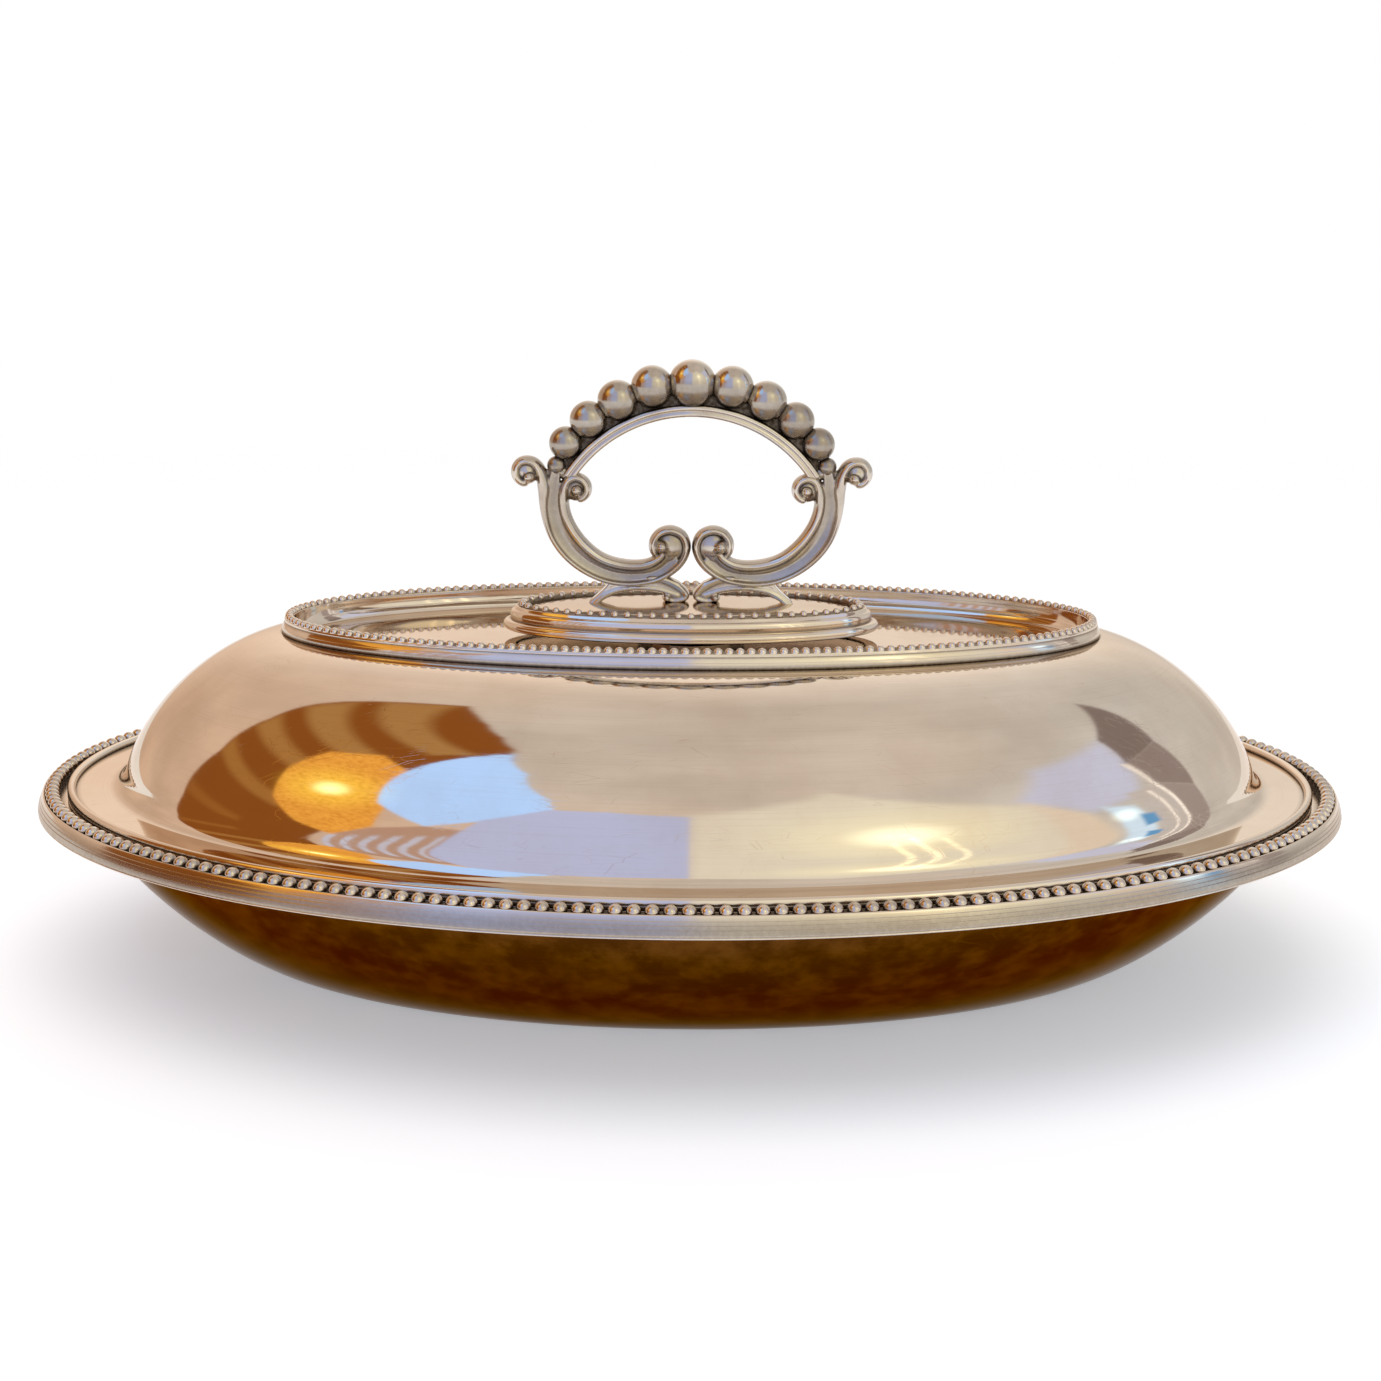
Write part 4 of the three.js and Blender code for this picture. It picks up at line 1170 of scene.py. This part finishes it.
# What the silver mirrors: coloured panels on the studio's round wall. Their corners are azimuths, from the
# front towards the right, and elevations, in degrees, anticlockwise; then the softness of the edge in
# degrees, and the panel's light. Later panels cover earlier ones.
SCREEN = (0.29, 0.092, 0.016)
SHADE = [
    (-96, 52), (-90, 42), (-80, 31), (-68, 23), (-58, 20), (-54, 31), (-61, 48), (-75, 59), (-91, 59),
]
SHADE_GRAIN = (0.62, 0.20, 0.015)
PANELS = [
    # Pale front wall on the right
    ([(0, -18), (64, -18), (66, 40), (40, 66), (0, 58)], 5, (0.88, 0.84, 0.73)),
    ([(56, -16), (73, -16), (73, 29), (66, 43)], 4, (0.90, 0.80, 0.68)),
    ([(66, 44), (74, 28), (90, 28), (98, 36), (108, 45), (84, 52)], 5, (0.68, 0.73, 0.98)),
    ([(84, -16), (99, -16), (97, 26), (86, 30)], 2, (0.66, 0.62, 0.62)),
    # Brown screen on the left, with its pale stripes
    (
        [(-148, 61), (-119, 44), (-58, 44), (-80, 73), (-99, 74.2), (-118, 72.3), (-133, 68.5), (-141, 65)],
        1.0, SCREEN,
    ),
    ([(-120, 45.5), (-107, 31), (-60, 31), (-58, 45.5)], 1.0, SCREEN),
    ([(-107.6, 32), (-101, 11), (-62, 11), (-60, 32)], 1.0, SCREEN),
    ([(-101.2, 12), (-100, -16), (-62, -16), (-62, 12)], 1.0, SCREEN),
    ([(-101, 14), (-80, 11), (-80, 15), (-102.5, 19)], 3.5, (0.36, 0.135, 0.028)),
    ([(-107, 31.5), (-76, 27), (-76, 32), (-111, 36)], 2.8, (0.43, 0.19, 0.048)),
    ([(-115, 41), (-86, 43), (-86, 47.5), (-120, 45.5)], 2.8, (0.45, 0.215, 0.062)),
    ([(-126, 49), (-90, 53.5), (-90, 58.5), (-134, 53.7)], 2.6, (0.46, 0.235, 0.075)),
    ([(-138, 56), (-90, 65), (-90, 70), (-146, 60.6)], 2.4, (0.46, 0.24, 0.08)),
    # Shaded lamp
    (SHADE, 1.0, (1.05, 0.50, 0.085)),
    # High window and front window
    (
        [(-62, 44), (-46, 37), (-39, 45), (-30, 57), (-35, 62), (-60, 71), (-92, 74)],
        1.0, (0.56, 0.86, 1.45),
    ),
    ([(-62, -16), (-38, -16), (-38, 38), (-46, 37), (-54, 30), (-58, 22)], 1.0, (0.56, 0.36, 0.27)),
    ([(-38.5, -16), (0, -16), (0, 57.5), (-19, 58.2), (-31, 56.5), (-39, 46)], 0.7, (0.57, 0.64, 0.98)),
    # Small cool light, the post beside it and its bright edges
    ([(73, -16), (84, -16), (83.5, 24), (77, 29)], 2.5, (0.78, 1.02, 1.30)),
    ([(81, 10), (86, 11), (86, 17), (82, 19)], 2, (0.16, 0.42, 0.80)),
    ([(96, -16), (104, -16), (105, 17), (96, 27)], 1.0, (0.42, 0.36, 0.35)),
    ([(96, 27), (105, 17), (113, 34), (99, 37.5)], 1.0, (0.34, 0.28, 0.27)),
    ([(99, 37.5), (113, 34), (131, 47.5), (108, 45.5)], 1.0, (0.26, 0.21, 0.20)),
    ([(90, -16), (91, -16), (92, 26), (90.8, 27)], 0.5, (1.1, 1.05, 1.0)),
    ([(94.6, -16), (95.8, -16), (96, 28), (94.8, 28)], 0.5, (1.2, 1.15, 1.1)),
    ([(94.8, 28), (96, 28), (99, 37), (97.5, 38.5)], 0.5, (1.1, 1.05, 1.0)),
    # Candles of the warm light
    ([(32.2, -16), (33.8, -16), (33.6, 33), (32.4, 33)], 0.7, (1.5, 1.35, 1.0)),
    ([(36.4, -16), (38.0, -16), (37.8, 36), (36.6, 36)], 0.7, (1.6, 1.45, 1.1)),
    ([(41.4, -16), (42.8, -16), (42.6, 33), (41.6, 33)], 0.7, (1.4, 1.3, 1.0)),
]

# Round glows: azimuth, elevation, radius in degrees, then the light that they add.
GLOWS = [
    (-75, 43, 13, (0.25, 0.30, 0.02)),
    (-75, 43, 4.5, (1.0, 1.2, 0.75)),
    (36, 36, 26, (0.22, 0.20, 0.04)),
    (36, 37, 10, (0.65, 0.70, 0.55)),
    (79, 21, 5, (0.6, 0.7, 0.6)),
    (180, 24, 42, (0.44, 0.43, 0.41)),
]

LEFT_WALL = (0.75, 0.55, 0.42)
RIGHT_WALL = (0.70, 0.68, 0.66)
CEILING = (0.69, 0.62, 0.56)
CURTAIN_FOLD = (0.66, 0.68, 0.86)
CURTAIN_SPAN = (-61, -39)
CURTAIN_TOP = 60
CURTAIN_SLOPE = 0.65
CURTAIN_FOLD_TURN = 1.7
STUDIO_RADIUS = 8.0
# How far the high panels lean to the front, as a share of their height above LEAN_START
LEAN = 0.075
LEAN_START = 0.34


def panel_mask(tree, spot, corners, soft):
    """1 inside a convex panel, fading over its soft edge. spot holds azimuth, elevation and 1."""
    nearest = None
    for (a, b), (c, d) in zip(corners, corners[1:] + corners[:1]):
        length = math.hypot(c - a, d - b)
        inward = ((b - d) / length, (c - a) / length)
        edge = (*inward, -(inward[0] * a + inward[1] * b))
        distance = vector_calc(tree, "DOT_PRODUCT", spot, edge)
        nearest = distance if nearest is None else calc(tree, "MINIMUM", nearest, distance)
    return ramp(tree, nearest, -soft / 2, soft / 2)


def glow_mask(tree, way, azimuth, elevation, radius):
    """1 at the middle of a round glow and 0 at its radius."""
    a, e = math.radians(azimuth), math.radians(elevation)
    towards = (math.sin(a) * math.cos(e), -math.cos(a) * math.cos(e), math.sin(e))
    cosine = vector_calc(tree, "DOT_PRODUCT", way, towards)
    return calc(tree, "POWER", ramp(tree, cosine, math.cos(math.radians(radius)), 1.0, smooth=False), 2.0)


def leaned(tree, way):
    """The direction, moved back with its height, so that what hangs high leans to the front."""
    height = add_node(tree, "SeparateXYZ", {0: way}).outputs[2]
    above = calc(tree, "MAXIMUM", calc(tree, "SUBTRACT", height, LEAN_START), 0.0)
    step = add_node(tree, "CombineXYZ", {1: times(tree, above, LEAN)}).outputs[0]
    return vector_calc(tree, "NORMALIZE", vector_calc(tree, "ADD", way, step))


def room_light(tree, way):
    """The studio wall's light in every direction."""
    way = leaned(tree, way)
    parts = add_node(tree, "SeparateXYZ", {0: way})
    facing = times(tree, parts.outputs[1], -1.0)
    azimuth = times(tree, calc(tree, "ARCTAN2", parts.outputs[0], facing), 180 / math.pi)
    elevation = times(tree, calc(tree, "ARCSINE", parts.outputs[2]), 180 / math.pi)
    spot = add_node(tree, "CombineXYZ", {0: azimuth, 1: elevation, 2: 1.0}).outputs[0]
    walls = mixed(tree, ramp(tree, parts.outputs[0], -0.75, 0.65), (*LEFT_WALL, 1), (*RIGHT_WALL, 1))
    room = mixed(tree, ramp(tree, elevation, 45, 72), walls, (*CEILING, 1))
    unevenness = ramp(tree, noise(tree, way, 2.6, 3.0), 0.3, 0.7, 0.90, 1.08)
    room = scaled(tree, room, unevenness)
    for corners, soft, light in PANELS:
        mask = panel_mask(tree, spot, corners, soft)
        room = mixed(tree, mask, room, (*light, 1))
        if corners is SHADE:
            grain = ramp(tree, noise(tree, way, 70.0, 3.0, 0.7), 0.45, 0.62, 0.0, 0.6)
            room = mixed(tree, times(tree, mask, grain), room, (*SHADE_GRAIN, 1))
    room = mixed(tree, curtain_mask(tree, azimuth, elevation), room, (*CURTAIN_FOLD, 1))
    for glow_azimuth, glow_elevation, radius, light in GLOWS:
        mask = glow_mask(tree, way, glow_azimuth, glow_elevation, radius)
        room = vector_calc(tree, "ADD", room, scaled(tree, light, mask))
    return room


def curtain_mask(tree, azimuth, elevation):
    """The folds of the curtain beside the front window."""
    left, right = CURTAIN_SPAN
    fold = calc(tree, "SINE", times(tree, azimuth, CURTAIN_FOLD_TURN))
    inside = times(tree, ramp(tree, azimuth, left, left + 1), ramp(tree, azimuth, right, right - 1))
    above = calc(tree, "SUBTRACT", elevation, times(tree, azimuth, CURTAIN_SLOPE))
    below = ramp(tree, above, CURTAIN_TOP, CURTAIN_TOP - 4)
    return times(tree, times(tree, inside, below), ramp(tree, fold, -0.1, 0.5))


def make_backdrop():
    """The white that the camera sees behind the dish."""
    world = bpy.data.worlds.new("backdrop")
    bpy.context.scene.world = world
    world.use_nodes = True
    tree = world.node_tree
    tree.nodes.clear()
    white = add_node(tree, "Background", {"Color": (1, 1, 1, 1), "Strength": 1.0})
    add_node(tree, "OutputWorld", {"Surface": white.outputs[0]})


def make_studio_wall():
    """The round wall of warm light and soft panels that the silver mirrors."""
    ball, faces = unit_sphere(*STUDIO_MESH)
    wall_of_light = new_piece("studio_wall", ball * STUDIO_RADIUS, faces)
    material, tree = new_material("studio_light")
    way = vector_calc(tree, "NORMALIZE", object_place(tree))
    glow = add_node(tree, "Emission", {"Color": room_light(tree, way), "Strength": 1.0})
    add_node(tree, "OutputMaterial", {"Surface": glow.outputs[0]})
    wall_of_light.data.materials.append(material)
    wall_of_light.visible_camera = False


FLOOR_SIZE = 12.0
FLOOR_DROP = 0.1 * MM
FLOOR_COLOUR = (0.78, 0.80, 0.82, 1)
FLOOR_LIFT = (0.355, 0.37, 0.39, 1)
FLOOR_NEAR = 0.45
FLOOR_FAR = 1.3

LAMP_LENGTH = 1.6
LAMP_WIDTH = 1.2
LAMP_POWER = 9
LAMP_COLOUR = (1.0, 0.98, 0.96)
LAMP_PLACE = (-0.25, -0.35, 1.5)
LAMP_TILT = (13, -9, 0)


def make_floor():
    """Plain pale floor with the dish's shadow."""
    half = FLOOR_SIZE / 2
    corners = [(x * half, y * half, -FLOOR_DROP) for x, y in ((-1, -1), (1, -1), (1, 1), (-1, 1))]
    floor = new_piece("floor", corners, [(0, 1, 2, 3)], slots=[floor_material()])


def floor_material():
    """Matt and pale, lifted to the backdrop's white as the floor runs away."""
    material, tree = new_material("pale_floor")
    distance = vector_calc(tree, "LENGTH", object_place(tree))
    ray = add_node(tree, "LightPath")
    seen = calc(tree, "MAXIMUM", ray.outputs["Is Camera Ray"], ray.outputs["Is Glossy Ray"])
    seen = calc(tree, "MAXIMUM", seen, ray.outputs["Is Transmission Ray"])
    matt = add_node(tree, "BsdfDiffuse", {"Color": FLOOR_COLOUR})
    lift = add_node(tree, "Emission", {"Color": FLOOR_LIFT, "Strength": seen})
    near = add_node(tree, "AddShader", {0: matt.outputs[0], 1: lift.outputs[0]})
    white = add_node(tree, "Emission", {"Color": (1, 1, 1, 1), "Strength": 1.0})
    far = times(tree, seen, ramp(tree, distance, FLOOR_NEAR, FLOOR_FAR))
    both = add_node(tree, "MixShader", {0: far, 1: near.outputs[0], 2: white.outputs[0]})
    add_node(tree, "OutputMaterial", {"Surface": both.outputs[0]})
    return material


def make_lamp():
    """A large soft overhead lamp for the floor's light and shadow, which the silver doesn't mirror."""
    data = bpy.data.lights.new("overhead", "AREA")
    data.shape = "RECTANGLE"
    data.size = LAMP_LENGTH
    data.size_y = LAMP_WIDTH
    data.energy = LAMP_POWER
    data.color = LAMP_COLOUR
    lamp = add_object("overhead", data)
    lamp.location = LAMP_PLACE
    lamp.rotation_euler = [math.radians(angle) for angle in LAMP_TILT]
    lamp.visible_glossy = False


# Assembly

def place(piece, body, slot, *nodes):
    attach(piece, body)
    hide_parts(*nodes)


def build_dish(materials, chance):
    place(make_bowl(materials["under"], materials["polished"]), "dish", "under_silver", "dish_body")
    place(make_rim_band(materials["moulding"]), "dish", "polished_silver", "border_band")
    row = ("rim_beads", "border_beads", BORDER_BEAD, BORDER_BEAD_COUNT)
    beads = bead_row(*row, materials["bead"], chance, width_share=1.2)
    place(beads, "dish", "bead_silver", "border_beads")


def build_lid(materials, chance):
    place(make_lid(materials["polished"], materials["inner"]), "lid", "polished_silver", "lid_body")
    place(make_lid_wire(materials["moulding"]), "lid", "polished_silver", "lid_edge_wire")
    place(make_gallery(materials["moulding"]), "lid", "polished_silver", "gallery_moulding")
    row = ("gallery_bead_wire", "gallery_beads", GALLERY_BEAD, GALLERY_BEAD_COUNT)
    beads = bead_row(*row, materials["small_bead"], chance, sink=0.30)
    place(beads, "lid", "bead_silver", "gallery_beads")


def build_handle(materials, chance):
    place(make_base_plate(materials["moulding"]), "handle", "polished_silver", "handle_plate")
    row = ("base_bead_wire", "handle_plate_beads", PLATE_BEAD, PLATE_BEAD_COUNT)
    beads = bead_row(*row, materials["small_bead"], chance, sink=0.20)
    place(beads, "handle", "bead_silver", "handle_plate_beads")
    cast = materials["cast"]
    place(make_arch(cast), "handle", "cast_silver", "arch_bar")
    for made, node in ((make_scrolls(cast), "scroll"), (make_feet(cast), "foot_bracket")):
        for piece, side in zip(made, ("right", "left")):
            place(piece, "handle", "cast_silver", f"{node}_{side}")
    chain = ball_chain()
    place(make_ball("crown_ball", chain, 0, 1, cast), "handle", "cast_silver", "ball_top")
    for number in range(1, len(chain)):
        for side, word in ((-1, "left"), (1, "right")):
            ball = make_ball(f"{word}_ball_{number}", chain, number, side, cast)
            place(ball, "handle", "cast_silver", f"ball_{word}_{number}")


def dress_kept_nodes(materials):
    """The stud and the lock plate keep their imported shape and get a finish."""
    for node in ("lid_stud", "lock_plate"):
        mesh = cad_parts[node].data
        mesh.materials.clear()
        mesh.materials.append(materials["inner"])


def main():
    chance = np.random.RandomState(RANDOM_SEED)
    make_camera()
    make_backdrop()
    make_studio_wall()
    make_floor()
    make_lamp()
    materials = make_materials()
    build_dish(materials, chance)
    build_lid(materials, chance)
    build_handle(materials, chance)
    dress_kept_nodes(materials)
    bpy.context.scene.view_settings.view_transform = "Standard"


main()
